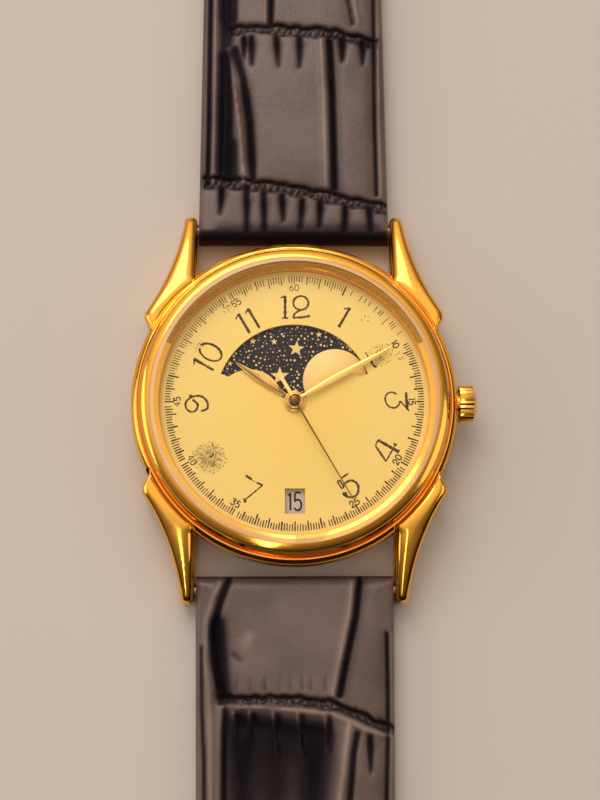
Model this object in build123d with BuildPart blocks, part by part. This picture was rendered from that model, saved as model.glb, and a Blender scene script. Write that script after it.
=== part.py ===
"""Moon phase wristwatch with a leather strap, laid flat on its case back.

The origin is the centre of the case back's outer face. +Z runs up through the crystal,
+Y to 12 o'clock and +X to the crown at 3 o'clock. All sizes are in millimetres.
"""

from build123d import *
from math import atan2, cos, degrees, radians, sin
import os

os.makedirs("parts", exist_ok=True)

# Case, from the dial outwards
dial_radius = 14.4
crystal_seat_width = 0.9
case_clearance = 0.05
bezel_land = 1.1
groove_width = 0.2
rim_edge_width = 0.13
band_swell = 0.62
fit_clearance = 0.02
overrun = 1.0
bore_radius = dial_radius + case_clearance
bezel_radius = bore_radius + bezel_land
rim_inner_radius = bezel_radius + groove_width
rim_outer_radius = rim_inner_radius + rim_edge_width
case_radius = rim_outer_radius + band_swell
sight_radius = dial_radius - crystal_seat_width

# Levels, from the case back up to the crystal
back_thickness = 0.6
back_plug_height = 0.5
movement_clearance = 0.05
movement_thickness = 3.06
hour_wheel_rise = 0.06
wheel_thickness = 0.15
disc_clearance = 0.2
date_disc_thickness = 0.12
moon_clearance = 0.1
moon_disc_thickness = 0.1
dial_clearance = 0.06
dial_thickness = 0.4
rehaut_height = 1.45
case_bottom = back_thickness
plug_top = case_bottom + back_plug_height
movement_bottom = plug_top + movement_clearance
movement_top = movement_bottom + movement_thickness
hour_wheel_bottom = movement_top + hour_wheel_rise
date_disc_bottom = hour_wheel_bottom + wheel_thickness + disc_clearance
date_disc_top = date_disc_bottom + date_disc_thickness
moon_disc_bottom = date_disc_top + moon_clearance
moon_disc_top = moon_disc_bottom + moon_disc_thickness
dial_bottom = moon_disc_top + dial_clearance
dial_top = dial_bottom + dial_thickness
crystal_bottom = dial_top + rehaut_height

# Middle case section
foot_inset = 0.95
band_drop = 1.5
rim_height = 0.6
swell_bulge_share = 0.72
rim_top = dial_top + rim_height
band_widest = rim_top - band_drop
foot_radius = case_radius - foot_inset

# Lugs: the outline runs from the tip back to a stepped shoulder on the case flank
strap_gap = 20.1
lug_overhang = 3.5
lug_tip_width = 1.3
lug_tip_round = 0.35
lug_sink = 0.3
shoulder_stand_off = 1.2
shoulder_angle = 31.5
toe_stand_off = 0.95
toe_angle = 29.5
toe_root_angle = 27.0
lug_flank_shares = (0.345, 0.461)
lug_top_drop = 0.15
lug_tip_height = 2.9
lug_tip_bottom = 0.45
lug_root_rise = 0.5
lug_edge_break = 0.4
lug_inner = strap_gap / 2
lug_reach = case_radius + lug_overhang

# Spring bars at the lugs
bar_inset = 1.3
bar_height = 1.9
bar_radius = 0.75
bar_play = 0.05
bar_reach = lug_reach - bar_inset

# Bezel, crystal and case back
bezel_height = 1.7
bezel_bulge_shares = ((0, 0.52), (0.32, 0.85))
crystal_side_height = 0.8
crystal_bevel_width = 0.8
crystal_bevel_height = 0.35
back_inset = 0.4
back_slope = 0.45
pry_notch_width = 3.0
pry_notch_height = 0.3
pry_notch_depth = 0.5
pry_notch_angle = 225.0
crystal_radius = dial_radius
bezel_bore = crystal_radius + fit_clearance
bezel_top = rim_top + bezel_height
back_radius = foot_radius - back_inset
plug_radius = bore_radius - case_clearance

# Crown, stem and case tube
crown_height = 3.9
crown_radius = 1.885
crown_gap = 0.15
crown_length = 1.4
crown_dome = 0.3
crown_dome_inset = 0.1
crown_dome_share = 0.6
crown_flutes = 26
flute_depth = 0.13
tube_radius = 1.2
tube_stand_out = 1.2
stem_radius = 0.5
stem_hole_play = 0.06
stem_inner_end = 7.4
stem_grip = 0.3
crown_recess_radius = 1.55
crown_recess_play = 0.15
crown_gasket_length = 0.3
crown_gasket_inset = 0.1
crown_start = case_radius + crown_gap
tube_end = case_radius + tube_stand_out
crown_recess_end = tube_end + crown_recess_play
stem_end = crown_recess_end + stem_grip
stem_hole_radius = stem_radius + stem_hole_play

# Movement, with the pads under the date disc and the dial
movement_radius = dial_radius
pad_inset = 0.8
pad_shelf = 1.77
pad_under = 0.75
pad_width = 1.6
pad_date_play = 0.05
pad_date_gap = 0.08
pad_angles = (45.0, 135.0, 225.0, 315.0)

# Calendar drive: shares of the module in depth and of the pitch in width
arbor_radius = 0.15
pivot_depth = 0.3
pivot_play = 0.03
tube_gap = 0.05
cannon_wall = 0.22
hour_tube_wall = 0.28
root_depth_share = 1.4
tip_depth_share = 0.95
hour_teeth = 24
date_driver_teeth = 48
date_driver_inset = 2.2
date_driver_angle = 180.0

# Calendar discs and their driver
date_card_width = 3.1
date_tooth_depth = 0.25
date_teeth = 31
moon_teeth = 59
moon_disc_radius = 8.25
moon_wheel_radius = 3.2
moon_tooth_depth = 0.22
moon_wheel_gap = 0.02
finger_width = 0.4
date_finger_bite = 0.2
moon_finger_bite = 0.15
date_finger_angle = 90.0
moon_finger_angle = 270.0
pad_end = dial_radius - pad_inset
shelf_start = pad_end - pad_shelf
date_outer_radius = shelf_start - pad_date_gap
date_root_radius = date_outer_radius - date_card_width
date_tip_radius = date_root_radius - date_tooth_depth
date_driver_distance = date_tip_radius - date_driver_inset
date_finger_length = date_driver_inset + date_finger_bite
moon_finger_length = date_driver_distance - moon_wheel_radius + moon_finger_bite

# Dial openings
moon_window_radius = 7.95
moon_window_angle = 69.0
hump_radius = 3.3
hump_offset = 4.5
dial_hole_radius = 0.95
date_window_width = 2.0
date_window_height = 2.5
date_window_reach = 10.0

# Hands and their tubes
hour_hand_rise = 0.25
minute_hand_rise = 0.6
second_hand_rise = 0.9
hand_thickness = 0.15
second_hand_thickness = 0.1
hour_length = 7.1
minute_length = 11.15
second_length = 11.46
second_tail = 3.1
hour_width = 0.72
minute_width = 0.64
second_width = 0.2
second_tip_width = 0.09
second_tail_width = 0.36
hand_root_width = 0.3
hand_tip_width = 0.1
hand_wide_share = 0.42
hour_hub_radius = 1.05
minute_hub_radius = 0.8
second_hub_radius = 0.5
second_cap_height = 0.16
hour_clock_angle = 303.5
minute_clock_angle = 60.7
second_clock_angle = 150.0

# Strap
strap_loop_radius = 1.5
bar_hole_play = 0.09
strap_side_play = 0.15
strap_12_length = 72.0
strap_6_length = 112.0
strap_buckle_width = 18.0
strap_pad_rise = 0.5
strap_pad_reach = 13.0
strap_crown_drop = 0.75
lining_thickness = 0.7
lining_split_reach = 4.0
lining_split_start = 1.2
lining_buckle_inset = 7.0
settle_reach = 34.0
keeper_thickness = 0.85
keeper_play = 0.05
buckle_loop_radius = 1.1
tip_thickness = 2.0
tip_point_length = 13.0
tip_belly_shares = (0.68, 0.62)
hole_count = 6
hole_pitch = 6.5
hole_radius = 1.1
hole_tip_distance = 30.0
strap_half = strap_gap / 2 - strap_side_play
buckle_reach = bar_reach + strap_12_length
strap_12_floor = keeper_thickness + keeper_play
buckle_height = strap_12_floor + buckle_loop_radius
strap_top = bar_height + strap_loop_radius
strap_pad_top = strap_top + strap_pad_rise

# Keepers
keeper_width = 5.0
keeper_side_play = 0.6
keeper_room = 4.7
keeper_corner = 0.8
fixed_keeper_distance = 8.5
free_keeper_distance = 20.0

# Buckle
buckle_arm_play = 0.3
buckle_arm_width = 2.0
buckle_back = 2.0
buckle_window = 9.6
buckle_bar_width = 2.4
buckle_corner = 3.0
buckle_frame_height = 2.2
buckle_bend_reach = 3.0
buckle_pin_radius = 0.65
buckle_pin_depth = 0.9
tongue_width = 1.8
tongue_thickness = 0.8
tongue_ring_radius = 1.05
tongue_overhang = 0.5
tongue_rest_gap = 0.06
tongue_slot_play = 0.25
tongue_slot_length = 6.0


def polar(radius, angle):
    """A point at a radius and an angle in degrees from +X."""
    return (radius * cos(radians(angle)), radius * sin(radians(angle)))


def clock(angle):
    """The angle from +X of a hand that points this many degrees clockwise from 12."""
    return 90 - angle


def step(start, distance, angle):
    """The point this far from start at an angle in degrees."""
    return (start[0] + distance * cos(radians(angle)), start[1] + distance * sin(radians(angle)))


def toothed_points(teeth, root_radius, tip_radius, turn):
    """Corners of an outline with pointed teeth; one tooth's tip lies at turn degrees."""
    pitch = 360 / teeth
    return [
        point
        for tooth in range(teeth)
        for point in (
            polar(root_radius, turn + pitch * (tooth - 1 / 2)),
            polar(tip_radius, turn + pitch * tooth),
        )
    ]


def add_gear(middle, teeth, turn):
    """A toothed disc of the calendar drive in the part that is being built."""
    root_radius = gear_module * (teeth / 2 - root_depth_share)
    tip_radius = gear_module * (teeth / 2 + tip_depth_share)
    with BuildSketch(Plane((middle[0], middle[1], hour_wheel_bottom))) as outline:
        with BuildLine():
            Polyline(*toothed_points(teeth, root_radius, tip_radius, turn), close=True)
        make_face()
    extrude(outline.sketch, amount=wheel_thickness)


def add_post(middle, bottom, top, radius, mode=Mode.ADD):
    """An upright round post, or a hole when it is subtracted."""
    with Locations((middle[0], middle[1], (bottom + top) / 2)):
        Cylinder(radius, top - bottom, mode=mode)


def add_block(start, end, width, bottom, top, angle, middle=(0, 0)):
    """A block that runs from start to end outwards from middle, at an angle in degrees."""
    with Locations(Location((*step(middle, (start + end) / 2, angle), (bottom + top) / 2), (0, 0, angle))):
        Box(end - start, width, top - bottom)


def add_rod(start, end, radius, height, mode=Mode.ADD):
    """A round rod along X from start to end, through the crown's axis height."""
    with Locations(Location(((start + end) / 2, 0, height), (0, 90, 0))):
        Cylinder(radius, end - start, mode=mode)


def cross_plane(reach, height):
    """A plane square to X, with its own x along +Y."""
    return Plane(origin=(reach, 0, height), x_dir=(0, 1, 0), z_dir=(1, 0, 0))


def hand_plane(height, angle):
    """A level plane whose own x points along a hand."""
    return Plane(origin=(0, 0, height), x_dir=(*polar(1, angle), 0), z_dir=(0, 0, 1))


# One lug, at the corner between 12 and 3 o'clock
lug_shoulder = polar(case_radius + shoulder_stand_off, shoulder_angle)
lug_toe = polar(case_radius + toe_stand_off, toe_angle)
lug_toe_root = polar(case_radius - lug_sink, toe_root_angle)
lug_bed = polar(rim_outer_radius, toe_root_angle)
lug_corner = (lug_inner, (rim_outer_radius**2 - lug_inner**2) ** 0.5)
lug_corner_angle = degrees(atan2(lug_corner[1], lug_corner[0]))
lug_bed_middle = polar(rim_outer_radius, (toe_root_angle + lug_corner_angle) / 2)
lug_tip_outer = lug_inner + lug_tip_width
lug_tip_side = lug_reach - lug_tip_round
lug_flank = (
    lug_tip_outer + lug_flank_shares[0] * (lug_shoulder[0] - lug_tip_outer),
    lug_shoulder[1] + lug_flank_shares[1] * (lug_tip_side - lug_shoulder[1]),
)
lug_root_top = rim_top - lug_top_drop
lug_tip_top = lug_tip_bottom + lug_tip_height
with BuildPart() as lug:
    with BuildSketch(Plane.XY):
        with BuildLine():
            Polyline(lug_corner, (lug_inner, lug_tip_side), (lug_inner + lug_tip_round, lug_reach))
            Line((lug_inner + lug_tip_round, lug_reach), (lug_tip_outer - lug_tip_round, lug_reach))
            Line((lug_tip_outer - lug_tip_round, lug_reach), (lug_tip_outer, lug_tip_side))
            ThreePointArc((lug_tip_outer, lug_tip_side), lug_flank, lug_shoulder)
            Polyline(lug_shoulder, lug_toe, lug_toe_root, lug_bed)
            ThreePointArc(lug_bed, lug_bed_middle, lug_corner)
        make_face()
    extrude(amount=rim_top)
    with BuildSketch(Plane.YZ):
        with BuildLine():
            Line((0, lug_root_top), (lug_shoulder[1], lug_root_top))
            TangentArc((lug_shoulder[1], lug_root_top), (lug_reach, lug_tip_top), tangent=(1, 0))
            Polyline(
                (lug_reach, lug_tip_top),
                (lug_reach, lug_tip_bottom),
                (0, lug_tip_bottom + lug_root_rise),
                (0, lug_root_top),
            )
        make_face()
    extrude(amount=case_radius + overrun, mode=Mode.INTERSECT)
    top_face = lug.faces().filter_by(GeomType.CYLINDER).sort_by(Axis.Z)[-1]
    lug_edges = [edge for edge in top_face.edges() if edge.center().Y > lug_shoulder[1] + lug_edge_break]
    chamfer(lug_edges, lug_edge_break)

# Four lugs by mirroring
with BuildPart() as lugs:
    add(lug.part)
    mirror(about=Plane.YZ)
    mirror(about=Plane.XZ)

# Middle case: the band with its rim groove, and the lugs
swell_point = (
    rim_outer_radius + swell_bulge_share * band_swell,
    band_widest + swell_bulge_share * (rim_top - band_widest),
)
with BuildPart() as mid_case:
    with BuildSketch(Plane.XZ):
        with BuildLine():
            Polyline(
                (rim_outer_radius, rim_top),
                (rim_inner_radius, rim_top),
                (rim_inner_radius, dial_top),
                (bore_radius, dial_top),
                (bore_radius, case_bottom),
                (foot_radius, case_bottom),
                (case_radius, band_widest),
                swell_point,
                close=True,
            )
        make_face()
    revolve(axis=Axis.Z)
    add(lugs.part)
    add_rod(0, case_radius + overrun, tube_radius, crown_height, Mode.SUBTRACT)
mid_case.part.label = "mid_case"
export_step(mid_case.part, "parts/mid_case.step")

# Bezel: its sloping inner wall runs down to the dial, its step carries the crystal
bezel_bulge = [
    (bezel_radius - share_in * (bezel_radius - bezel_bore), dial_top + share_up * (bezel_top - dial_top))
    for share_in, share_up in bezel_bulge_shares
]
with BuildPart() as bezel:
    with BuildSketch(Plane.XZ):
        with BuildLine():
            Polyline(
                (sight_radius, dial_top),
                (bezel_radius, dial_top),
                *bezel_bulge,
                (bezel_bore, bezel_top),
                (bezel_bore, crystal_bottom),
                (sight_radius, crystal_bottom),
                close=True,
            )
        make_face()
    revolve(axis=Axis.Z)
bezel.part.label = "bezel"
export_step(bezel.part, "parts/bezel.step")

# Crystal: a flat mineral glass with a bevelled edge
crystal_side_top = crystal_bottom + crystal_side_height
with BuildPart() as crystal:
    with BuildSketch(Plane.XZ):
        with BuildLine():
            Polyline(
                (0, crystal_bottom),
                (crystal_radius, crystal_bottom),
                (crystal_radius, crystal_side_top),
                (crystal_radius - crystal_bevel_width, crystal_side_top + crystal_bevel_height),
                (0, crystal_side_top + crystal_bevel_height),
                close=True,
            )
        make_face()
    revolve(axis=Axis.Z)
crystal.part.label = "crystal"
export_step(crystal.part, "parts/crystal.step")

# Press-fit case back with its plug and a pry notch
with BuildPart() as case_back:
    with BuildSketch(Plane.XZ):
        with BuildLine():
            Polyline(
                (0, 0),
                (back_radius - back_slope, 0),
                (back_radius, case_bottom),
                (plug_radius, case_bottom),
                (plug_radius, plug_top),
                (0, plug_top),
                close=True,
            )
        make_face()
    revolve(axis=Axis.Z)
    with Locations(Location((*polar(back_radius, pry_notch_angle), case_bottom), (0, 0, pry_notch_angle))):
        Box(2 * pry_notch_depth, pry_notch_width, 2 * pry_notch_height, mode=Mode.SUBTRACT)
case_back.part.label = "case_back"
export_step(case_back.part, "parts/case_back.step")

# Case tube that the crown slides over
with BuildPart() as case_tube:
    add_rod(bore_radius, tube_end, tube_radius, crown_height)
    add_rod(bore_radius, tube_end, stem_hole_radius, crown_height, Mode.SUBTRACT)
case_tube.part.label = "case_tube"
export_step(case_tube.part, "parts/case_tube.step")

# Spring bars between the lugs
for bar_name, bar_place in (("spring_bar_12", bar_reach), ("spring_bar_6", -bar_reach)):
    with BuildPart() as spring_bar:
        with Locations(Location((0, bar_place, bar_height), (0, 90, 0))):
            Cylinder(bar_radius, strap_gap)
    spring_bar.part.label = bar_name
    export_step(spring_bar.part, f"parts/{bar_name}.step")

# Wheel places, modules and tubes
centre = (0, 0)
date_driver_place = polar(date_driver_distance, date_driver_angle)
gear_module = 2 * date_driver_distance / (hour_teeth + date_driver_teeth)
cannon_bore = arbor_radius + tube_gap
cannon_radius = cannon_bore + cannon_wall
hour_bore = cannon_radius + tube_gap
hour_tube_radius = hour_bore + hour_tube_wall
hour_hand_bottom = dial_top + hour_hand_rise
minute_hand_bottom = dial_top + minute_hand_rise
second_hand_bottom = dial_top + second_hand_rise

pad_start = date_outer_radius - pad_under
pad_top = date_disc_bottom - pad_date_play
pivot_bottom = movement_top - pivot_depth

# Movement: a sealed block with a slot for the stem and pads on its top
with BuildPart() as movement:
    add_post(centre, movement_bottom, movement_top, movement_radius)
    for angle in pad_angles:
        add_block(pad_start, pad_end, pad_width, movement_top, pad_top, angle)
        add_block(shelf_start, pad_end, pad_width, pad_top, dial_bottom, angle)
    add_post(date_driver_place, pivot_bottom, movement_top, arbor_radius + pivot_play, Mode.SUBTRACT)
    with Locations(((stem_inner_end - stem_hole_play + movement_radius) / 2, 0, movement_top)):
        Box(
            movement_radius - stem_inner_end + stem_hole_play,
            2 * stem_hole_radius,
            2 * (movement_top - crown_height + stem_hole_radius),
            mode=Mode.SUBTRACT,
        )
movement.part.label = "movement"
export_step(movement.part, "parts/movement.step")

# Hour wheel, carrying the hour hand on its tube and driving the calendar
with BuildPart() as hour_wheel:
    add_gear(centre, hour_teeth, date_driver_angle)
    add_post(centre, hour_wheel_bottom, hour_hand_bottom, hour_tube_radius)
    add_post(centre, hour_wheel_bottom, hour_hand_bottom, hour_bore, Mode.SUBTRACT)
hour_wheel.part.label = "hour_wheel"
export_step(hour_wheel.part, "parts/hour_wheel.step")

# Date driving wheel: one turn a day, with a finger for each calendar disc
moon_finger_bottom = date_disc_top + moon_wheel_gap
moon_finger_top = moon_disc_bottom - moon_wheel_gap
driver_turn = date_driver_angle + (180 / date_driver_teeth)
with BuildPart() as date_driving_wheel:
    add_gear(date_driver_place, date_driver_teeth, driver_turn)
    add_post(date_driver_place, pivot_bottom + pivot_play, moon_finger_top, arbor_radius)
    for length, angle, bottom, top in (
        (date_finger_length, date_finger_angle, date_disc_bottom, date_disc_top),
        (moon_finger_length, moon_finger_angle, moon_finger_bottom, moon_finger_top),
    ):
        add_block(0, length, finger_width, bottom, top, angle, date_driver_place)
date_driving_wheel.part.label = "date_driving_wheel"
export_step(date_driving_wheel.part, "parts/date_driving_wheel.step")

# Date disc with 31 inner teeth
with BuildPart() as date_disc:
    with BuildSketch(Plane.XY.offset(date_disc_bottom)):
        Circle(date_outer_radius)
        with BuildLine():
            Polyline(*toothed_points(date_teeth, date_root_radius, date_tip_radius, 0), close=True)
        make_face(mode=Mode.SUBTRACT)
    extrude(amount=date_disc_thickness)
date_disc.part.label = "date_disc"
export_step(date_disc.part, "parts/date_disc.step")

# Moon disc on its toothed wheel
moon_hub_bore = hour_tube_radius + tube_gap
moon_root_radius = moon_wheel_radius - moon_tooth_depth
with BuildPart() as moon_disc:
    with BuildSketch(Plane.XY.offset(moon_disc_bottom)):
        Circle(moon_disc_radius)
    extrude(amount=moon_disc_thickness)
    with BuildSketch(Plane.XY.offset(moon_finger_bottom)):
        with BuildLine():
            Polyline(*toothed_points(moon_teeth, moon_root_radius, moon_wheel_radius, 0), close=True)
        make_face()
    extrude(amount=moon_disc_bottom - moon_finger_bottom)
    add_post(centre, moon_finger_bottom, moon_disc_top, moon_hub_bore, Mode.SUBTRACT)
moon_disc.part.label = "moon_disc"
export_step(moon_disc.part, "parts/moon_disc.step")

# Dial with the moon window and the date window
window_left = polar(moon_window_radius, 90 + moon_window_angle)
window_right = polar(moon_window_radius, 90 - moon_window_angle)
with BuildPart() as dial:
    with BuildSketch(Plane.XY.offset(dial_bottom)):
        Circle(dial_radius)
    extrude(amount=dial_thickness)
    with BuildSketch(Plane.XY.offset(dial_bottom)):
        with BuildLine():
            Line(centre, window_right)
            ThreePointArc(window_right, (0, moon_window_radius), window_left)
            Line(window_left, centre)
        make_face()
        with Locations((hump_offset, 0), (-hump_offset, 0)):
            Circle(hump_radius, mode=Mode.SUBTRACT)
        Circle(dial_hole_radius)
        with Locations((0, -date_window_reach)):
            Rectangle(date_window_width, date_window_height)
    extrude(amount=dial_thickness, mode=Mode.SUBTRACT)
dial.part.label = "dial"
export_step(dial.part, "parts/dial.step")


def add_blade(height, clock_angle, start, length, width):
    """A leaf-shaped blade: narrow at its root, widest before its middle, pointed at its tip."""
    wide_reach = start + hand_wide_share * (length - start)
    with BuildSketch(hand_plane(height, clock(clock_angle))) as blade:
        with BuildLine():
            Spline((start, hand_root_width / 2), (wide_reach, width / 2), (length, hand_tip_width / 2))
            Line((length, hand_tip_width / 2), (length, -hand_tip_width / 2))
            Spline((length, -hand_tip_width / 2), (wide_reach, -width / 2), (start, -hand_root_width / 2))
            Polyline((start, -hand_root_width / 2), (0, -hand_root_width / 2), (0, hand_root_width / 2))
            Line((0, hand_root_width / 2), (start, hand_root_width / 2))
        make_face()
    extrude(blade.sketch, amount=hand_thickness)


# Hour hand, pressed on the hour wheel's tube
with BuildPart() as hour_hand:
    add_blade(hour_hand_bottom, hour_clock_angle, hour_hub_radius, hour_length, hour_width)
    add_post(centre, hour_hand_bottom, hour_hand_bottom + hand_thickness, hour_hub_radius)
    add_post(centre, hour_hand_bottom, hour_hand_bottom + hand_thickness, hour_bore, Mode.SUBTRACT)
hour_hand.part.label = "hour_hand"
export_step(hour_hand.part, "parts/hour_hand.step")

# Minute hand on its tube
with BuildPart() as minute_hand:
    add_blade(minute_hand_bottom, minute_clock_angle, minute_hub_radius, minute_length, minute_width)
    add_post(centre, minute_hand_bottom, minute_hand_bottom + hand_thickness, minute_hub_radius)
    add_post(centre, movement_top, minute_hand_bottom, cannon_radius)
    add_post(centre, movement_top, minute_hand_bottom + hand_thickness, cannon_bore, Mode.SUBTRACT)
minute_hand.part.label = "minute_hand"
export_step(minute_hand.part, "parts/minute_hand.step")

# Second hand with its counterweight, cap and arbor
with BuildPart() as second_hand:
    with BuildSketch(hand_plane(second_hand_bottom, clock(second_clock_angle))):
        with BuildLine():
            Polyline(
                (0, second_width / 2),
                (second_length, second_tip_width / 2),
                (second_length, -second_tip_width / 2),
                (0, -second_width / 2),
                close=True,
            )
        make_face()
        with Locations((-(second_tail - second_tail_width / 2) / 2, 0)):
            SlotCenterToCenter(second_tail - second_tail_width / 2, second_tail_width)
    extrude(amount=second_hand_thickness)
    add_post(centre, second_hand_bottom, second_hand_bottom + second_cap_height, second_hub_radius)
    add_post(centre, movement_top, second_hand_bottom, arbor_radius)
second_hand.part.label = "second_hand"
export_step(second_hand.part, "parts/second_hand.step")

# Crown with fluted grip, domed end and the recess that hides the case tube
crown_grip_end = crown_start + crown_length
with BuildPart() as crown:
    with BuildSketch(cross_plane(crown_start, crown_height)):
        with BuildLine():
            Polyline(
                *toothed_points(crown_flutes, crown_radius - flute_depth, crown_radius, 0),
                close=True,
            )
        make_face()
    extrude(amount=crown_length)
    with BuildSketch(Plane(origin=(0, 0, crown_height), x_dir=(1, 0, 0), z_dir=(0, -1, 0))):
        with BuildLine():
            Polyline(
                (crown_grip_end, 0),
                (crown_grip_end, crown_radius - flute_depth - crown_dome_inset),
                (crown_grip_end + crown_dome, crown_dome_share * crown_radius),
                (crown_grip_end + crown_dome, 0),
                close=True,
            )
        make_face()
    revolve(axis=Axis((0, 0, crown_height), (1, 0, 0)))
    add_rod(crown_start, crown_recess_end, crown_recess_radius, crown_height, Mode.SUBTRACT)
    add_rod(crown_start, stem_end, stem_radius, crown_height, Mode.SUBTRACT)
crown.part.label = "crown"
export_step(crown.part, "parts/crown.step")

# Crown gasket between crown and case tube
crown_gasket_start = crown_start + crown_gasket_inset
crown_gasket_end = crown_gasket_start + crown_gasket_length
gasket_radius = crown_recess_radius - fit_clearance
gasket_bore = tube_radius + fit_clearance
with BuildPart() as crown_gasket:
    add_rod(crown_gasket_start, crown_gasket_end, gasket_radius, crown_height)
    add_rod(crown_gasket_start, crown_gasket_end, gasket_bore, crown_height, Mode.SUBTRACT)
crown_gasket.part.label = "crown_gasket"
export_step(crown_gasket.part, "parts/crown_gasket.step")

# Stem, pressed into the crown
with BuildPart() as winding_stem:
    add_rod(stem_inner_end, stem_end, stem_radius, crown_height)
winding_stem.part.label = "winding_stem"
export_step(winding_stem.part, "parts/winding_stem.step")


def strap_blank(side, length, far_half, with_point):
    """The tapered, crowned bar that one strap half is cut from; side is 1 at 12 and -1 at 6 o'clock."""
    near_reach = bar_reach - strap_loop_radius
    far_reach = bar_reach + length
    end_reach = far_reach if with_point else far_reach + buckle_loop_radius
    point_start = far_reach - tip_point_length
    with BuildPart() as blank:
        with BuildSketch(Plane.XY):
            with BuildLine():
                if with_point:
                    belly_reach = point_start + tip_point_length * tip_belly_shares[1]
                    belly = (far_half * tip_belly_shares[0], side * belly_reach)
                    left_belly = (-belly[0], belly[1])
                    Line((strap_half, side * near_reach), (far_half, side * point_start))
                    Spline((far_half, side * point_start), belly, (0, side * end_reach))
                    Spline((0, side * end_reach), left_belly, (-far_half, side * point_start))
                    Line((-far_half, side * point_start), (-strap_half, side * near_reach))
                else:
                    Polyline(
                        (strap_half, side * near_reach),
                        (far_half, side * far_reach),
                        (far_half, side * end_reach),
                        (-far_half, side * end_reach),
                        (-far_half, side * far_reach),
                        (-strap_half, side * near_reach),
                    )
                Line((-strap_half, side * near_reach), (strap_half, side * near_reach))
            make_face()
        extrude(amount=strap_pad_top + overrun)
        with BuildSketch(Plane.XZ):
            with BuildLine():
                Polyline((-strap_half, strap_pad_top - strap_crown_drop), (-strap_half, 0), (strap_half, 0))
                Line((strap_half, 0), (strap_half, strap_pad_top - strap_crown_drop))
                ThreePointArc(
                    (strap_half, strap_pad_top - strap_crown_drop),
                    (0, strap_pad_top),
                    (-strap_half, strap_pad_top - strap_crown_drop),
                )
            make_face()
        extrude(amount=-side * (end_reach + overrun), mode=Mode.INTERSECT)
    return blank.part


def bore_across(side, reach, height, radius, width):
    """A round hole along X through the part that is being built."""
    with Locations(Location((0, side * reach, height), (0, 90, 0))):
        Cylinder(radius, width, mode=Mode.SUBTRACT)


# Strap blanks: the buckle half at 12 o'clock, the pointed half at 6 o'clock
strap_wide = strap_gap
strap_12_blank = strap_blank(1, strap_12_length, strap_buckle_width / 2, False)
strap_6_blank = strap_blank(-1, strap_6_length, strap_buckle_width / 2, True)
bar_hole_radius = bar_radius + bar_hole_play
strap_floor_start = bar_height - strap_loop_radius
split_rise = strap_floor_start + lining_thickness
lining_end = strap_12_length - lining_buckle_inset
buckle_loop_top = buckle_height + buckle_loop_radius

# Upper leather of the buckle half, looped round both bars
with BuildPart() as strap_12_leather:
    with BuildSketch(Plane.YZ):
        with BuildLine():
            ThreePointArc(
                (bar_reach - strap_loop_radius, bar_height),
                (bar_reach - strap_loop_radius * 0.5**0.5, bar_height + strap_loop_radius * 0.5**0.5),
                (bar_reach, strap_top),
            )
            Spline(
                (bar_reach, strap_top),
                (bar_reach + strap_pad_reach, strap_pad_top),
                (buckle_reach, buckle_loop_top),
                tangents=((1, 0), (1, 0)),
            )
            ThreePointArc(
                (buckle_reach, buckle_loop_top),
                (buckle_reach + buckle_loop_radius, buckle_height),
                (buckle_reach, strap_12_floor),
            )
            Polyline(
                (buckle_reach, strap_12_floor),
                (bar_reach + lining_end, strap_12_floor),
                (bar_reach + lining_end, strap_12_floor + lining_thickness),
                (bar_reach + settle_reach, strap_12_floor + lining_thickness),
                (bar_reach + lining_split_reach, split_rise),
                (bar_reach + lining_split_start, bar_height),
                (bar_reach - strap_loop_radius, bar_height),
            )
        make_face()
    extrude(amount=strap_wide, both=True)
    add(strap_12_blank, mode=Mode.INTERSECT)
    bore_across(1, bar_reach, bar_height, bar_hole_radius, strap_wide)
    bore_across(1, buckle_reach, buckle_height, buckle_pin_radius + bar_hole_play, strap_wide)
    with Locations((0, buckle_reach + buckle_loop_radius - tongue_slot_length / 2, buckle_height)):
        Box(
            tongue_width + 2 * tongue_slot_play,
            tongue_slot_length,
            2 * buckle_loop_radius + overrun,
            mode=Mode.SUBTRACT,
        )
strap_12_leather.part.label = "strap_12_leather"
export_step(strap_12_leather.part, "parts/strap_12_leather.step")

# Lining of the buckle half, under the spring bar
with BuildPart() as strap_12_lining:
    with BuildSketch(Plane.YZ):
        with BuildLine():
            ThreePointArc(
                (bar_reach - strap_loop_radius, bar_height),
                (bar_reach - strap_loop_radius * 0.5**0.5, bar_height - strap_loop_radius * 0.5**0.5),
                (bar_reach, strap_floor_start),
            )
            Polyline(
                (bar_reach, strap_floor_start),
                (bar_reach + settle_reach, strap_12_floor),
                (bar_reach + lining_end, strap_12_floor),
                (bar_reach + lining_end, strap_12_floor + lining_thickness),
                (bar_reach + settle_reach, strap_12_floor + lining_thickness),
                (bar_reach + lining_split_reach, split_rise),
                (bar_reach + lining_split_start, bar_height),
                (bar_reach - strap_loop_radius, bar_height),
            )
        make_face()
    extrude(amount=strap_wide, both=True)
    add(strap_12_blank, mode=Mode.INTERSECT)
    bore_across(1, bar_reach, bar_height, bar_hole_radius, strap_wide)
strap_12_lining.part.label = "strap_12_lining"
export_step(strap_12_lining.part, "parts/strap_12_lining.step")

# Buckle holes of the pointed half
strap_6_end = bar_reach + strap_6_length
hole_places = [(0, -(strap_6_end - hole_tip_distance - hole_pitch * i)) for i in range(hole_count)]

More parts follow.
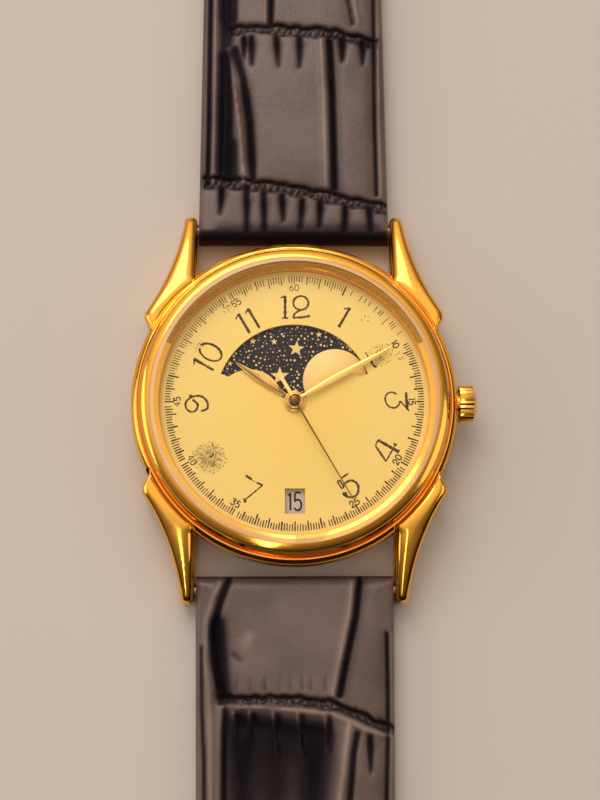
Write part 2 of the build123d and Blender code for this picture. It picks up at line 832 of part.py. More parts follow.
# Pointed half, leather and lining stitched into one
with BuildPart() as strap_6:
    with BuildSketch(Plane.YZ):
        with BuildLine():
            ThreePointArc(
                (-bar_reach + strap_loop_radius, bar_height),
                (-bar_reach + strap_loop_radius * 0.5**0.5, bar_height + strap_loop_radius * 0.5**0.5),
                (-bar_reach, strap_top),
            )
            Spline(
                (-bar_reach, strap_top),
                (-bar_reach - strap_pad_reach, strap_pad_top),
                (-strap_6_end, tip_thickness),
                tangents=((-1, 0), (-1, 0)),
            )
            Polyline(
                (-strap_6_end, tip_thickness),
                (-strap_6_end, 0),
                (-bar_reach - settle_reach, 0),
                (-bar_reach, strap_floor_start),
            )
            ThreePointArc(
                (-bar_reach, strap_floor_start),
                (-bar_reach + strap_loop_radius * 0.5**0.5, bar_height - strap_loop_radius * 0.5**0.5),
                (-bar_reach + strap_loop_radius, bar_height),
            )
        make_face()
    extrude(amount=strap_wide, both=True)
    add(strap_6_blank, mode=Mode.INTERSECT)
    bore_across(-1, bar_reach, bar_height, bar_hole_radius, strap_wide)
    for place in hole_places:
        add_post(place, -overrun, strap_pad_top + overrun, hole_radius, Mode.SUBTRACT)
strap_6.part.label = "strap_6"
export_step(strap_6.part, "parts/strap_6.step")

# Keepers: two leather loops around the buckle half
keeper_inner_width = strap_buckle_width + 2 * keeper_side_play
keeper_outer_height = keeper_room + 2 * keeper_thickness
keeper_distances = {"fixed_keeper": fixed_keeper_distance, "free_keeper": free_keeper_distance}
for keeper_name, distance in keeper_distances.items():
    keeper_start = buckle_reach - distance - keeper_width / 2
    with BuildPart() as keeper:
        keeper_middle = (0, keeper_start, keeper_outer_height / 2)
        with BuildSketch(Plane(origin=keeper_middle, x_dir=(-1, 0, 0), z_dir=(0, 1, 0))):
            RectangleRounded(keeper_inner_width + 2 * keeper_thickness, keeper_outer_height, keeper_corner)
            Rectangle(keeper_inner_width, keeper_room, mode=Mode.SUBTRACT)
        extrude(amount=keeper_width)
    keeper.part.label = keeper_name
    export_step(keeper.part, f"parts/{keeper_name}.step")

# Buckle frame: a bent, open frame with sockets for its spring bar
buckle_arm_inner = strap_buckle_width / 2 + buckle_arm_play
buckle_arm_outer = buckle_arm_inner + buckle_arm_width
buckle_front = buckle_reach + buckle_window + buckle_bar_width
buckle_rear = buckle_reach - buckle_back
buckle_bend = buckle_reach + buckle_bend_reach
buckle_pin_span = 2 * (buckle_arm_inner + buckle_pin_depth)
frame_bottom = buckle_height - buckle_frame_height / 2
frame_top = buckle_height + buckle_frame_height / 2
with BuildPart() as buckle_frame:
    with BuildSketch(Plane.XY):
        with Locations((0, (buckle_rear + buckle_front) / 2)):
            outline = Rectangle(2 * buckle_arm_outer, buckle_front - buckle_rear)
        fillet(outline.vertices().group_by(Axis.Y)[-1], buckle_corner)
        with Locations((0, (buckle_rear - overrun + buckle_reach + buckle_window) / 2)):
            Rectangle(2 * buckle_arm_inner, buckle_window + buckle_back + overrun, mode=Mode.SUBTRACT)
    extrude(amount=frame_top)
    with BuildSketch(Plane.YZ):
        with BuildLine():
            Polyline(
                (buckle_rear, frame_top),
                (buckle_bend, frame_top),
                (buckle_front, buckle_frame_height),
                (buckle_front, 0),
                (buckle_bend, frame_bottom),
                (buckle_rear, frame_bottom),
                close=True,
            )
        make_face()
    extrude(amount=buckle_arm_outer, both=True, mode=Mode.INTERSECT)
    bore_across(1, buckle_reach, buckle_height, buckle_pin_radius + bar_play, buckle_pin_span)
buckle_frame.part.label = "buckle_frame"
export_step(buckle_frame.part, "parts/buckle_frame.step")

# Buckle spring bar
with BuildPart() as buckle_bar:
    with Locations(Location((0, buckle_reach, buckle_height), (0, 90, 0))):
        Cylinder(buckle_pin_radius, 2 * (buckle_arm_inner + buckle_pin_depth - bar_play))
buckle_bar.part.label = "buckle_bar"
export_step(buckle_bar.part, "parts/buckle_bar.step")

# Buckle tongue, hooked round the bar and resting on the frame's front
front_slope = (frame_top - buckle_frame_height) / (buckle_front - buckle_bend)
rest_start = buckle_reach + buckle_window - tongue_overhang
rest_start_height = frame_top - front_slope * (rest_start - buckle_bend) + tongue_rest_gap
tongue_end = buckle_front + tongue_overhang
tongue_end_height = frame_top - front_slope * (tongue_end - buckle_bend) + tongue_rest_gap
with BuildPart() as buckle_tongue:
    with BuildSketch(Plane.YZ):
        with Locations((buckle_reach, buckle_height)):
            Circle(tongue_ring_radius)
        with BuildLine():
            Polyline(
                (buckle_reach, buckle_height + tongue_ring_radius - tongue_thickness),
                (rest_start, rest_start_height),
                (tongue_end, tongue_end_height),
                (tongue_end, tongue_end_height + tongue_thickness / 2),
                (rest_start, rest_start_height + tongue_thickness),
                (buckle_reach, buckle_height + tongue_ring_radius),
                close=True,
            )
        make_face()
    extrude(amount=tongue_width / 2, both=True)
    bore_across(1, buckle_reach, buckle_height, buckle_pin_radius + bar_play, tongue_width)
buckle_tongue.part.label = "buckle_tongue"
export_step(buckle_tongue.part, "parts/buckle_tongue.step")
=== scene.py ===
import math
import random
import bpy
import numpy as np
from mathutils import Matrix, Vector


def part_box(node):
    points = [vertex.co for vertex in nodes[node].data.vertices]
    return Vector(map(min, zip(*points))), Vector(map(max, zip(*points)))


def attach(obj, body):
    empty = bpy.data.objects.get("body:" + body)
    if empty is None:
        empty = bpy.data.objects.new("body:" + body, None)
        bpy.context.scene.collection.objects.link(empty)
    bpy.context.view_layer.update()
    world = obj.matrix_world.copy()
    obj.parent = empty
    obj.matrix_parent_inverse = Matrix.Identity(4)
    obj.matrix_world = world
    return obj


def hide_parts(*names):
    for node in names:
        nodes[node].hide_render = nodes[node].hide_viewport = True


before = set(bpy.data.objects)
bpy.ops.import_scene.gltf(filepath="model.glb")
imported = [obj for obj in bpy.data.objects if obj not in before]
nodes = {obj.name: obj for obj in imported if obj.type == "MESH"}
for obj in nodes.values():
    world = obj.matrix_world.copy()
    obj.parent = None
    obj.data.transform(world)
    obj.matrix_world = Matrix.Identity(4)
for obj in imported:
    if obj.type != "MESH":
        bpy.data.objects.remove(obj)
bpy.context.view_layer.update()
mm = 0.001
bpy.ops.object.select_all(action="DESELECT")
print("frame loaded:", len(nodes), "nodes")


# sRGB hex to the linear values that the shaders take
def linear(hexText):
    parts = [int(hexText[i:i + 2], 16) / 255 for i in (1, 3, 5)]
    return [p / 12.92 if p <= 0.04045 else ((p + 0.055) / 1.055) ** 2.4 for p in parts] + [1.0]


# Adds a node, links what comes in and feeds what goes out; stops are those of a colour ramp
def addNode(material, kind, inputs=None, output=0, stops=None, feeds=None, **settings):
    node = material.node_tree.nodes.new("ShaderNode" + kind)
    for name, value in settings.items():
        setattr(node, name, value)
    for name, value in (inputs or {}).items():
        if isinstance(value, bpy.types.NodeSocket):
            material.node_tree.links.new(value, node.inputs[name])
        else:
            node.inputs[name].default_value = value
    if stops:
        elements = node.color_ramp.elements
        while len(elements) < len(stops):
            elements.new(0.5)
        for element, (at, colour) in zip(elements, stops):
            element.position = at
            element.color = linear(colour) if isinstance(colour, str) else (colour, colour, colour, 1)
    if feeds:
        material.node_tree.links.new(node.outputs[output], feeds)
    return node.outputs[output]


def perMetre(millimetres):
    return 1 / (millimetres * mm)


# A material's shader sockets, and the point of the object that it colours
def wiring(material):
    tree = material.node_tree.nodes
    return tree["Principled BSDF"].inputs, tree["Texture Coordinate"].outputs["Object"]


# Each grain has a size in millimetres, a detail and a socket that it varies between its stops. On the Normal it
# stands out as a bump of some height and strength instead
def newMaterial(name, hexText, metallic, roughness, *grains, **sockets):
    material = bpy.data.materials.new(name)
    material.use_nodes = True
    addNode(material, "TexCoord")
    shader, place = wiring(material)
    sockets.update({"Base Color": linear(hexText), "Metallic": metallic, "Roughness": roughness})
    for socket, value in sockets.items():
        shader[socket].default_value = value
    for size, detail, socket, effect in grains:
        noise = addNode(material, "TexNoise", {"Vector": place, "Scale": perMetre(size), "Detail": detail})
        if socket == "Normal":
            addNode(material, "Bump", {"Height": noise, "Distance": effect[0] * mm, "Strength": effect[1]},
                    feeds=shader[socket])
        else:
            addNode(material, "ValToRGB", {"Fac": noise}, stops=effect, feeds=shader[socket])
    return material


# How far a point lies from the watch's upright axis
def axisReach(material):
    place = wiring(material)[1]
    flat = addNode(material, "VectorMath", {0: place, 1: (1, 1, 0)}, operation="MULTIPLY")
    return addNode(material, "VectorMath", {0: flat}, output="Value", operation="LENGTH")


# Gold plate on brass, buffed to a mirror: deep yellow, its highlights softened by years of hair scratches
def polishedGold(name, hexText, roughness, worn=0.1):
    return newMaterial(name, hexText, 1.0, roughness,
                       (4, 3.0, "Roughness", [(0.3, roughness), (0.75, roughness + worn)]),
                       (0.35, 4.0, "Normal", (0.004, 0.25)))


caseGold = polishedGold("polishedGoldCase", "#fcb94c", 0.08)
trimGold = polishedGold("polishedGoldTrim", "#fcbe52", 0.14)

# Hands: gold leaf brass with a fine stamped grain, so they look paler and more even than the case
handGold = polishedGold("stampedGoldHands", "#fbcc70", 0.2)

# Second hand: gilt steel, worn brown along the needle and bright on its tail
needleLook = {"needle": "#7d5526", "tail": "#f3cf7c", "clockAngle": 150.0, "change": -0.55, "fade": 0.1}
needleGold = newMaterial("wornGiltNeedle", needleLook["needle"], 1.0, 0.32, (0.3, 3.0, "Normal", (0.005, 0.3)))
shader, place = wiring(needleGold)
aim = math.radians(needleLook["clockAngle"])
outwards = addNode(needleGold, "VectorMath", {0: place, 1: (math.sin(aim), math.cos(aim), 0)},
                   output="Value", operation="DOT_PRODUCT")
share = addNode(needleGold, "MapRange", {
    "Value": outwards, "From Min": (needleLook["change"] - needleLook["fade"]) * mm,
    "From Max": (needleLook["change"] + needleLook["fade"]) * mm})
addNode(needleGold, "ValToRGB", {"Fac": share}, feeds=shader["Base Color"],
        stops=[(0.0, needleLook["tail"]), (1.0, needleLook["needle"])])

# Stainless steel, satin: grey with a soft, slightly uneven sheen
satinSteel = newMaterial("satinSteel", "#66625d", 1.0, 0.34, (0.5, 4.0, "Roughness", [(0.3, 0.2), (0.7, 0.4)]))

# Stainless steel, turned on a lathe: rings round the middle that catch the light as a fan
turnedSteel = newMaterial("turnedSteel", "#bdbab2", 1.0, 0.24, (3, 4.0, "Roughness", [(0.3, 0.18), (0.7, 0.36)]))
rings = addNode(turnedSteel, "TexNoise", {
    "W": axisReach(turnedSteel), "Scale": perMetre(0.16), "Detail": 2.0}, noise_dimensions="1D")
addNode(turnedSteel, "Bump", {"Height": rings, "Distance": 0.012 * mm, "Strength": 0.5},
        feeds=wiring(turnedSteel)[0]["Normal"])

# Stamped brass wheels: dull yellow with a fine grain
gearBrass = newMaterial("stampedBrass", "#c9a65a", 1.0, 0.3, (0.2, 3.0, "Normal", (0.01, 0.3)))

# Moulded nitrile rubber: near black and dull
sealRubber = newMaterial("nitrileRubber", "#15161a", 0.0, 0.75, (0.1, 2.0, "Normal", (0.02, 0.4)))

# Champagne dial: lacquer over a satin brass blank, even and warm, stained where damp got in. Its colour is painted
# lighter towards the rim, a painted highlight that offsets the shade cast by the tall bezel wall
dialLook = {
    "middle": "#fed767", "rim": "#fddb7c", "stain": "#9c7a48", "middleRadius": 5.0, "rimRadius": 13.8, "top": 5.4,
    "stains": [((-8.5, -5.7), 2.6, 0.62), ((8.5, 4.6), 1.5, 0.55), ((-9.6, 5.9), 1.0, 0.4), ((-6.4, 9.9), 1.0, 0.35),
               ((5.6, 9.6), 2.2, 0.16)],  # centre, radius, strength
}
dialPaint = newMaterial("champagneLacquer", dialLook["middle"], 0.2, 0.36, (0.15, 2.0, "Normal", (0.004, 0.3)))
shader, place = wiring(dialPaint)
reach = addNode(dialPaint, "VectorMath", {0: place}, output="Value", operation="LENGTH")
share = addNode(dialPaint, "MapRange", {
    "Value": reach, "From Min": dialLook["middleRadius"] * mm, "From Max": dialLook["rimRadius"] * mm})
# Painted highlight: the rim colour is lighter than the middle, to offset the bezel wall's shade on the dial's edge
colour = addNode(dialPaint, "ValToRGB", {"Fac": share},
                 stops=[(0.0, dialLook["middle"]), (1.0, dialLook["rim"])])
speck = addNode(dialPaint, "TexNoise", {
    "Vector": place, "Scale": perMetre(0.4), "Detail": 6.0, "Roughness": 0.75})
for (x, y), radius, strength in dialLook["stains"]:
    shift = addNode(dialPaint, "VectorMath", {0: place, 1: (x * mm, y * mm, dialLook["top"] * mm)},
                    output="Value", operation="DISTANCE")
    near = addNode(dialPaint, "MapRange", {
        "Value": shift, "From Min": radius * mm, "From Max": 0.0, "To Max": strength})
    spots = addNode(dialPaint, "Math", {0: near, 1: speck}, operation="MULTIPLY")
    mask = addNode(dialPaint, "ValToRGB", {"Fac": spots}, stops=[(0.1, 0.0), (0.42, 1.0)])
    colour = addNode(dialPaint, "Mix", {"Factor": mask, 6: colour, 7: linear(dialLook["stain"])},
                     output=2, data_type="RGBA")
dialPaint.node_tree.links.new(colour, shader["Base Color"])

# Screen-printed ink: dark brown, thinning to tan where it has worn
dialInk = newMaterial("printedInk", "#3b2c22", 0.0, 0.5)
shader, place = wiring(dialInk)
fade = addNode(dialInk, "TexNoise", {
    "Vector": place, "Scale": perMetre(2.2), "Detail": 6.0, "Roughness": 0.7})
addNode(dialInk, "ValToRGB", {"Fac": fade}, feeds=shader["Base Color"],
        stops=[(0.38, "#32241a"), (0.56, "#5c4129"), (0.7, "#94703f")])

# Moon disc: dark blue-violet lacquer with a soft gloss
moonSky = newMaterial("skyLacquer", "#1f1b27", 0.0, 0.3,
                      (2.5, 3.0, "Base Color", [(0.35, "#1d1925"), (0.7, "#2a2430")]), **{"Specular IOR Level": 0.2})

# Moons and stars: gilt ink, flat and pale beside the metal hands
moonGold = newMaterial("giltInk", "#fbd27e", 0.12, 0.42, (0.3, 4.0, "Roughness", [(0.3, 0.34), (0.7, 0.5)]))

# Date disc: matt off-white card paint, tinted pink as painted reflected light from the brass round its window
datePaint = newMaterial("dateCardPaint", "#d3bcab", 0.0, 0.6,
                        (0.3, 4.0, "Base Color", [(0.3, "#cdb5a4"), (0.7, "#d9c4b3")]))

# Date print: black pad-printed ink
dateInk = newMaterial("dateInk", "#191512", 0.0, 0.5, (0.2, 2.0, "Roughness", [(0.3, 0.4), (0.7, 0.6)]))

# Mineral glass: clear, with a thin veil of reflection that grows towards its edge
crystalGlass = newMaterial("mineralGlass", "#d8ccbe", 0.0, 0.03)
rim = addNode(crystalGlass, "LayerWeight", {"Blend": 0.25}, output="Fresnel")
addNode(crystalGlass, "ValToRGB", {"Fac": rim}, stops=[(0.0, 0.012), (1.0, 0.24)],
        feeds=wiring(crystalGlass)[0]["Alpha"])

# Ground edge of the glass: satin and peach-coloured, because it shows the gilt seat under it
bevelLook = {"inner": 13.6, "outer": 14.4}
bevelGlass = newMaterial("groundGlassEdge", "#f4c38b", 0.0, 0.35,
                         (6, 2.0, "Base Color", [(0.3, "#f2be86"), (0.7, "#f6c893")]))
share = addNode(bevelGlass, "MapRange", {
    "Value": axisReach(bevelGlass), "From Min": bevelLook["inner"] * mm, "From Max": bevelLook["outer"] * mm})
addNode(bevelGlass, "ValToRGB", {"Fac": share}, stops=[(0.38, 0.08), (0.5, 0.86)],
        feeds=wiring(bevelGlass)[0]["Alpha"])


# Calf leather pressed with a crocodile pattern: soft brown-grey with a low sheen. Its colour holds painted light:
# ridge tops are painted lighter as a highlight, and the grooves near black as painted shade
# The groove attribute, a painted shade value, runs from 0 on a ridge over 0.3 on the flat to 1 in the deepest fold
def leather(name, ridge, flat, fold, paintedShade, roughness, pore, poreDepth):
    material = newMaterial(name, flat, 0.0, roughness, **{"Sheen Weight": 0.05, "Sheen Roughness": 0.5})
    shader, place = wiring(material)
    groove = addNode(material, "Attribute", output="Fac", attribute_name="groove")
    # Painted shade and highlight: the colour runs from the light ridge colour to the near black of the deepest fold
    depth = addNode(material, "ValToRGB", {"Fac": groove},
                    stops=[(0.0, ridge), (0.3, flat), (0.62, fold), (1.0, paintedShade)])
    addNode(material, "ValToRGB", {"Fac": groove}, feeds=shader["Specular IOR Level"],
            stops=[(0.35, 0.5), (0.75, 0.04)])
    patch = addNode(material, "TexNoise", {"Vector": place, "Scale": perMetre(6), "Detail": 4.0})
    worn = addNode(material, "ValToRGB", {"Fac": patch}, stops=[(0.3, "#c9beb9"), (0.65, "#ffffff")])
    addNode(material, "Mix", {"Factor": 1.0, 6: depth, 7: worn}, output=2,
            feeds=shader["Base Color"], data_type="RGBA", blend_type="MULTIPLY")
    addNode(material, "ValToRGB", {"Fac": patch}, feeds=shader["Roughness"],
            stops=[(0.3, roughness - 0.06), (0.7, roughness + 0.08)])
    pores = addNode(material, "TexVoronoi", {"Vector": place, "Scale": perMetre(pore)},
                    feature="DISTANCE_TO_EDGE")
    grain = addNode(material, "TexNoise", {"Vector": place, "Scale": perMetre(1.2), "Detail": 5.0})
    mixed = addNode(material, "Math", {0: pores, 1: grain}, operation="ADD")
    addNode(material, "Bump", {"Height": mixed, "Distance": poreDepth * mm, "Strength": 0.35},
            feeds=shader["Normal"])
    return material


# Real pores are about 0.1 mm: they are drawn at 0.3 mm so that they show
strapLeather = leather("crocPressedLeather", "#957c70", "#6d574f", "#35282a", "#100b12", 0.4, 0.3, 0.1)
keeperLeather = leather("keeperLeather", "#75635a", "#5b4943", "#312625", "#120c14", 0.46, 0.3, 0.07)

# Smooth tan lining, polished by wear
liningLeather = leather("smoothLining", "#a5692c", "#8c5522", "#5a3214", "#2a150a", 0.3, 0.5, 0.03)
print("finishes ready")


def only(piece):
    bpy.ops.object.select_all(action="DESELECT")
    piece.select_set(True)
    bpy.context.view_layer.objects.active = piece


# Edit mode with all of the mesh selected
def editAll():
    bpy.ops.object.mode_set(mode="EDIT")
    bpy.ops.mesh.select_all(action="SELECT")


def finish(piece, name, body, material, smooth=None):
    piece.name = name
    piece.data.name = name
    piece.data.materials.clear()
    piece.data.materials.append(material)
    only(piece)
    bpy.ops.object.transform_apply(location=True, rotation=True, scale=True)
    if smooth:
        bpy.ops.object.shade_smooth_by_angle(angle=math.radians(smooth))
    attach(piece, body)
    return piece


def applyModifiers(piece):
    only(piece)
    for modifier in list(piece.modifiers):
        bpy.ops.object.modifier_apply(modifier=modifier.name)


meshLook = {"merge": 0.0005, "flatAngle": 0.5, "sharpAngle": 32, "smoothAngle": 35}


# A copy of a CAD node with its doubles merged and its sharp edges rounded
def cadCopy(node, edge, steps):
    piece = nodes[node].copy()
    piece.data = nodes[node].data.copy()
    piece.parent = None
    for key in list(piece.keys()):
        del piece[key]
    bpy.context.scene.collection.objects.link(piece)
    only(piece)
    editAll()
    bpy.ops.mesh.remove_doubles(threshold=meshLook["merge"] * mm)
    bpy.ops.mesh.dissolve_limited(angle_limit=math.radians(meshLook["flatAngle"]))
    bpy.ops.mesh.select_all(action="DESELECT")
    bpy.ops.mesh.select_mode(type="EDGE")
    bpy.ops.mesh.edges_select_sharp(sharpness=math.radians(meshLook["sharpAngle"]))
    bpy.ops.object.mode_set(mode="OBJECT")
    weights = piece.data.attributes.new("bevel_weight_edge", "FLOAT", "EDGE")
    for line in piece.data.edges:
        weights.data[line.index].value = float(line.select)
    bevel = piece.modifiers.new("edge", "BEVEL")
    bevel.width = edge * mm
    bevel.segments = steps
    bevel.limit_method = "WEIGHT"
    applyModifiers(piece)
    return piece


def cutAway(piece, cutter):
    cut = piece.modifiers.new("cut", "BOOLEAN")
    cut.operation = "DIFFERENCE"
    cut.solver = "EXACT"
    cut.object = cutter
    applyModifiers(piece)
    bpy.data.objects.remove(cutter)


def joined(pieces):
    bpy.ops.object.select_all(action="DESELECT")
    for piece in pieces:
        piece.select_set(True)
    bpy.context.view_layer.objects.active = pieces[0]
    bpy.ops.object.join()
    return bpy.context.view_layer.objects.active


# Sizes and places in millimetres
def cylinder(sides, radius, depth, place=(0, 0, 0), turn=(0, 0, 0)):
    bpy.ops.mesh.primitive_cylinder_add(
        vertices=sides, radius=radius * mm, depth=depth * mm, location=[c * mm for c in place], rotation=turn)
    return bpy.context.object


# A flat grid whose points are moved to the rows given; rings close on themselves, and open ends are filled
def gridFrom(name, rows, values=None, closed=False):
    bpy.ops.mesh.primitive_grid_add(x_subdivisions=len(rows[0]) - 1, y_subdivisions=len(rows) - 1, size=0.01)
    piece = bpy.context.object
    piece.name = name
    piece.data.vertices.foreach_set("co", (np.array(rows, dtype=np.float32) * mm).ravel())
    if values is not None:
        attribute = piece.data.attributes.new("groove", "FLOAT", "POINT")
        attribute.data.foreach_set("value", np.array(values, dtype=np.float32).ravel())
    editAll()
    bpy.ops.mesh.remove_doubles(threshold=meshLook["merge"] * mm)
    bpy.ops.mesh.select_all(action="SELECT")
    if closed:
        bpy.ops.mesh.fill_holes(sides=0)
        bpy.ops.mesh.select_all(action="SELECT")
    bpy.ops.mesh.normals_make_consistent(inside=False)
    bpy.ops.object.mode_set(mode="OBJECT")
    return piece


# Case, crown and buckle: machined metal, its edges broken in millimetres and polished
metalwork = {
    "bezel": ("bezelRing", "case", caseGold, "gold_case", 0.05, 2),
    "case_back": ("caseBack", "case", turnedSteel, "steel", 0.05, 2),
    "crown": ("crownKnob", "crown_knob", trimGold, "gold_trim", 0.03, 2),
    "buckle_frame": ("buckleFrame", "buckle", trimGold, "gold_trim", 0.35, 4),
    "buckle_tongue": ("buckleTongue", "tongue", trimGold, "gold_trim", 0.18, 3),
}
for node, (name, body, material, slot, edge, steps) in metalwork.items():
    piece = finish(cadCopy(node, edge, steps), name, body, material, meshLook["smoothAngle"])
    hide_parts(node)

# The lugs' tops are domed from side to side, and their tips round off. Points are x and y in millimetres of one lug
lugLook = {
    "inner": 10.05, "tip": 20.0, "tipOuter": 11.35, "tipSide": 19.65, "flank": (12.64, 14.04),
    "shoulder": (15.09, 9.25), "toe": (15.19, 8.59), "toeRoot": (14.43, 7.35), "seat": 15.92,
    "rootTop": 5.85, "tipTop": 3.35, "dome": 0.8, "seatDome": 0.5, "seatReach": 0.6, "tipDome": 0.55,
    "tipReach": 0.75, "power": 2.3, "stations": 60, "crowding": 1.4, "across": 28, "rimSteps": 20, "flankSteps": 24,
    "overrun": 0.3, "leastOverrun": 0.01, "keepClear": 16.7, "above": 7.5, "edge": 0.06, "steps": 2,
}


def circleThrough(a, b, c):
    ax, ay, bx, by, cx, cy = *a, *b, *c
    d = 2 * (ax * (by - cy) + bx * (cy - ay) + cx * (ay - by))
    x = ((ax**2 + ay**2) * (by - cy) + (bx**2 + by**2) * (cy - ay) + (cx**2 + cy**2) * (ay - by)) / d
    y = ((ax**2 + ay**2) * (cx - bx) + (bx**2 + by**2) * (ax - cx) + (cx**2 + cy**2) * (bx - ax)) / d
    return x, y, math.hypot(ax - x, ay - y)


# The point that lies a share of the way along a line
def pointAt(points, share):
    reach = np.cumsum([0.0] + [math.dist(p, q) for p, q in zip(points, points[1:])])
    return np.array([np.interp(share * reach[-1], reach, [p[i] for p in points]) for i in (0, 1)])


# One lug's inner side runs down to the case and along its rim; the outer side is the concave flank down to the toe
def lugSides():
    look = lugLook
    tipOuter, seat, toeRoot = (look["tipOuter"], look["tipSide"]), look["seat"], look["toeRoot"]
    inner = [(look["inner"], look["tip"])] + [(seat * math.cos(a), seat * math.sin(a)) for a in np.linspace(
        math.acos(look["inner"] / seat), math.atan2(toeRoot[1], toeRoot[0]), look["rimSteps"])]
    cx, cy, radius = circleThrough(tipOuter, look["flank"], look["shoulder"])
    first, last = (math.atan2(y - cy, x - cx) % (2 * math.pi) for x, y in (tipOuter, look["shoulder"]))
    flank = [(cx + radius * math.cos(a), cy + radius * math.sin(a)) for a in np.linspace(
        first, last, look["flankSteps"])]
    return inner, [(look["tipOuter"], look["tip"])] + flank + [look["toe"], toeRoot]


# The body of air above one domed lug: it is cut off the case
def lugCutter(mirrorX, mirrorY):
    look = lugLook
    inner, outer = lugSides()
    drop = look["rootTop"] - look["tipTop"]
    run = look["tip"] - look["shoulder"][1]
    bend = (run**2 + drop**2) / (2 * drop)
    rows = []
    for i in range(look["stations"] + 1):
        share = (i / look["stations"]) ** look["crowding"]
        start, end = pointAt(inner, share), pointAt(outer, share)
        row = []
        for j in range(look["across"] + 1):
            v = (1 - math.cos(math.pi * j / look["across"])) / 2
            x, y = start + (end - start) * v
            ahead = max(0.0, y - look["shoulder"][1])
            level = look["rootTop"] - (bend - math.sqrt(bend**2 - ahead**2))
            edge = abs(2 * v - 1) ** look["power"]
            nearSeat = v < 0.5 and start[1] < inner[1][1] + look["seatReach"]
            dome = (look["seatDome"] if nearSeat else look["dome"]) * (1 - (1 - edge) ** (1 / look["power"]))
            closeTip = max(0.0, 1 - (look["tip"] - y) / look["tipReach"])
            row.append((x, y, level - dome - look["tipDome"] * (1 - math.sqrt(1 - closeTip**2))))
        # A little past each side, but never into the case's rim
        for last, before, index in ((row[0], row[1], 0), (row[-1], row[-2], len(row) + 1)):
            out = np.array(last[:2]) - np.array(before[:2])
            out = out / (np.linalg.norm(out) + 1e-9)
            far = min(look["overrun"], max(look["leastOverrun"], (math.hypot(*last[:2]) - look["keepClear"]) / 2))
            row.insert(index, (last[0] + out[0] * far, last[1] + out[1] * far, last[2]))
        if not i:
            rows.append([(x, y + look["overrun"], z) for x, y, z in row])
        rows.append(row)
    loops = []
    for row in rows:
        first, last = ((*end[:2], look["above"]) for end in (row[0], row[-1]))
        loops.append([(x * mirrorX, y * mirrorY, z) for x, y, z in [first] + row + [last, first]])
    return gridFrom("lugAir", loops, closed=True)


caseBody = cadCopy("mid_case", lugLook["edge"], lugLook["steps"])
for mirrorX, mirrorY in ((1, 1), (-1, 1), (-1, -1), (1, -1)):
    cutAway(caseBody, lugCutter(mirrorX, mirrorY))
finish(caseBody, "caseBody", "case", caseGold, meshLook["smoothAngle"])
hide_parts("mid_case")
print("metalwork dressed")

# Pieces that keep their CAD shape and get their finish
plain = {
    "case_tube": trimGold, "movement": satinSteel, "spring_bar_12": satinSteel, "spring_bar_6": satinSteel,
    "hour_wheel": gearBrass, "date_driving_wheel": gearBrass, "date_disc": datePaint, "moon_disc": moonSky,
    "winding_stem": satinSteel, "crown_gasket": sealRubber, "buckle_bar": satinSteel, "dial": dialPaint,
    "hour_hand": handGold, "minute_hand": handGold, "second_hand": needleGold,
}
for name, material in plain.items():
    nodes[name].data.materials.clear()
    nodes[name].data.materials.append(material)

# The crystal is turned clean, so that its ground edge shades evenly: its flat faces stay clear, the others are ground
crystalLook = {
    "segments": 192, "smoothAngle": 20, "flatFrom": 0.95,  # how upright a clear face's normal stands
    # radius and height
    "profile": [(0, 6.85), (14.38, 6.85), (14.4, 6.87), (14.4, 7.63), (14.38, 7.66), (13.62, 7.99), (13.58, 8.0),
                (0, 8.0)],
}
rows = []
for i in range(crystalLook["segments"] + 1):
    turn = 2 * math.pi * i / crystalLook["segments"]
    rows.append([(r * math.cos(turn), r * math.sin(turn), z) for r, z in crystalLook["profile"]])
crystal = finish(gridFrom("crystalGlass", rows), "crystalGlass", "case", crystalGlass,
                 crystalLook["smoothAngle"])
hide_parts("crystal")
crystal.data.materials.append(bevelGlass)
for face in crystal.data.polygons:
    if abs(face.normal.z) < crystalLook["flatFrom"]:
        face.material_index = 1


def clockPlace(radius, degrees):
    return radius * math.sin(math.radians(degrees)), radius * math.cos(math.radians(degrees))


def outward(degrees):
    return -math.radians(degrees)


def arc(cx, cy, rx, ry, start, end, count=9):
    turns = [math.radians(start + (end - start) * i / (count - 1)) for i in range(count)]
    return [(cx + rx * math.cos(t), cy + ry * math.sin(t)) for t in turns]


# Plain figures for the minutes and dates: each stroke in a box one unit high, curved where marked
plainFigures = {
    "0": (0.62, [(arc(0.31, 0.5, 0.31, 0.5, 90, 450, 17), 1)]),
    "1": (0.22, [([(0, 0.84), (0.17, 1), (0.17, 0)], 1)]),
    "2": (0.64, [(arc(0.31, 0.7, 0.27, 0.3, 200, -45, 11) + [(0.02, 0.02), (0.64, 0.02)], 1)]),
    "3": (0.6, [([(0.04, 1), (0.56, 1), (0.28, 0.6)] + arc(0.3, 0.3, 0.3, 0.3, 80, -160, 11), 1)]),
    "4": (0.64, [([(0.46, 0), (0.46, 1), (0, 0.3), (0.64, 0.3)], 1)]),
    "5": (0.6, [([(0.54, 1), (0.13, 1), (0.08, 0.55)] + arc(0.3, 0.31, 0.29, 0.31, 120, -150, 11), 1)]),
    "6": (0.6, [([(0.5, 0.98), (0.2, 0.72), (0.02, 0.36)] + arc(0.3, 0.28, 0.28, 0.28, 180, 540, 15), 1)]),
    "7": (0.58, [([(0, 0.9), (0, 1), (0.56, 1), (0.2, 0)], 1)]),
    "8": (0.58, [(arc(0.29, 0.75, 0.22, 0.25, 90, 450, 13), 1), (arc(0.29, 0.26, 0.28, 0.26, 90, 450, 13), 1)]),
    "9": (0.6, [(arc(0.3, 0.7, 0.28, 0.3, 0, 360, 15) + [(0.56, 0.42), (0.4, 0.14), (0.12, 0)], 1)]),
}

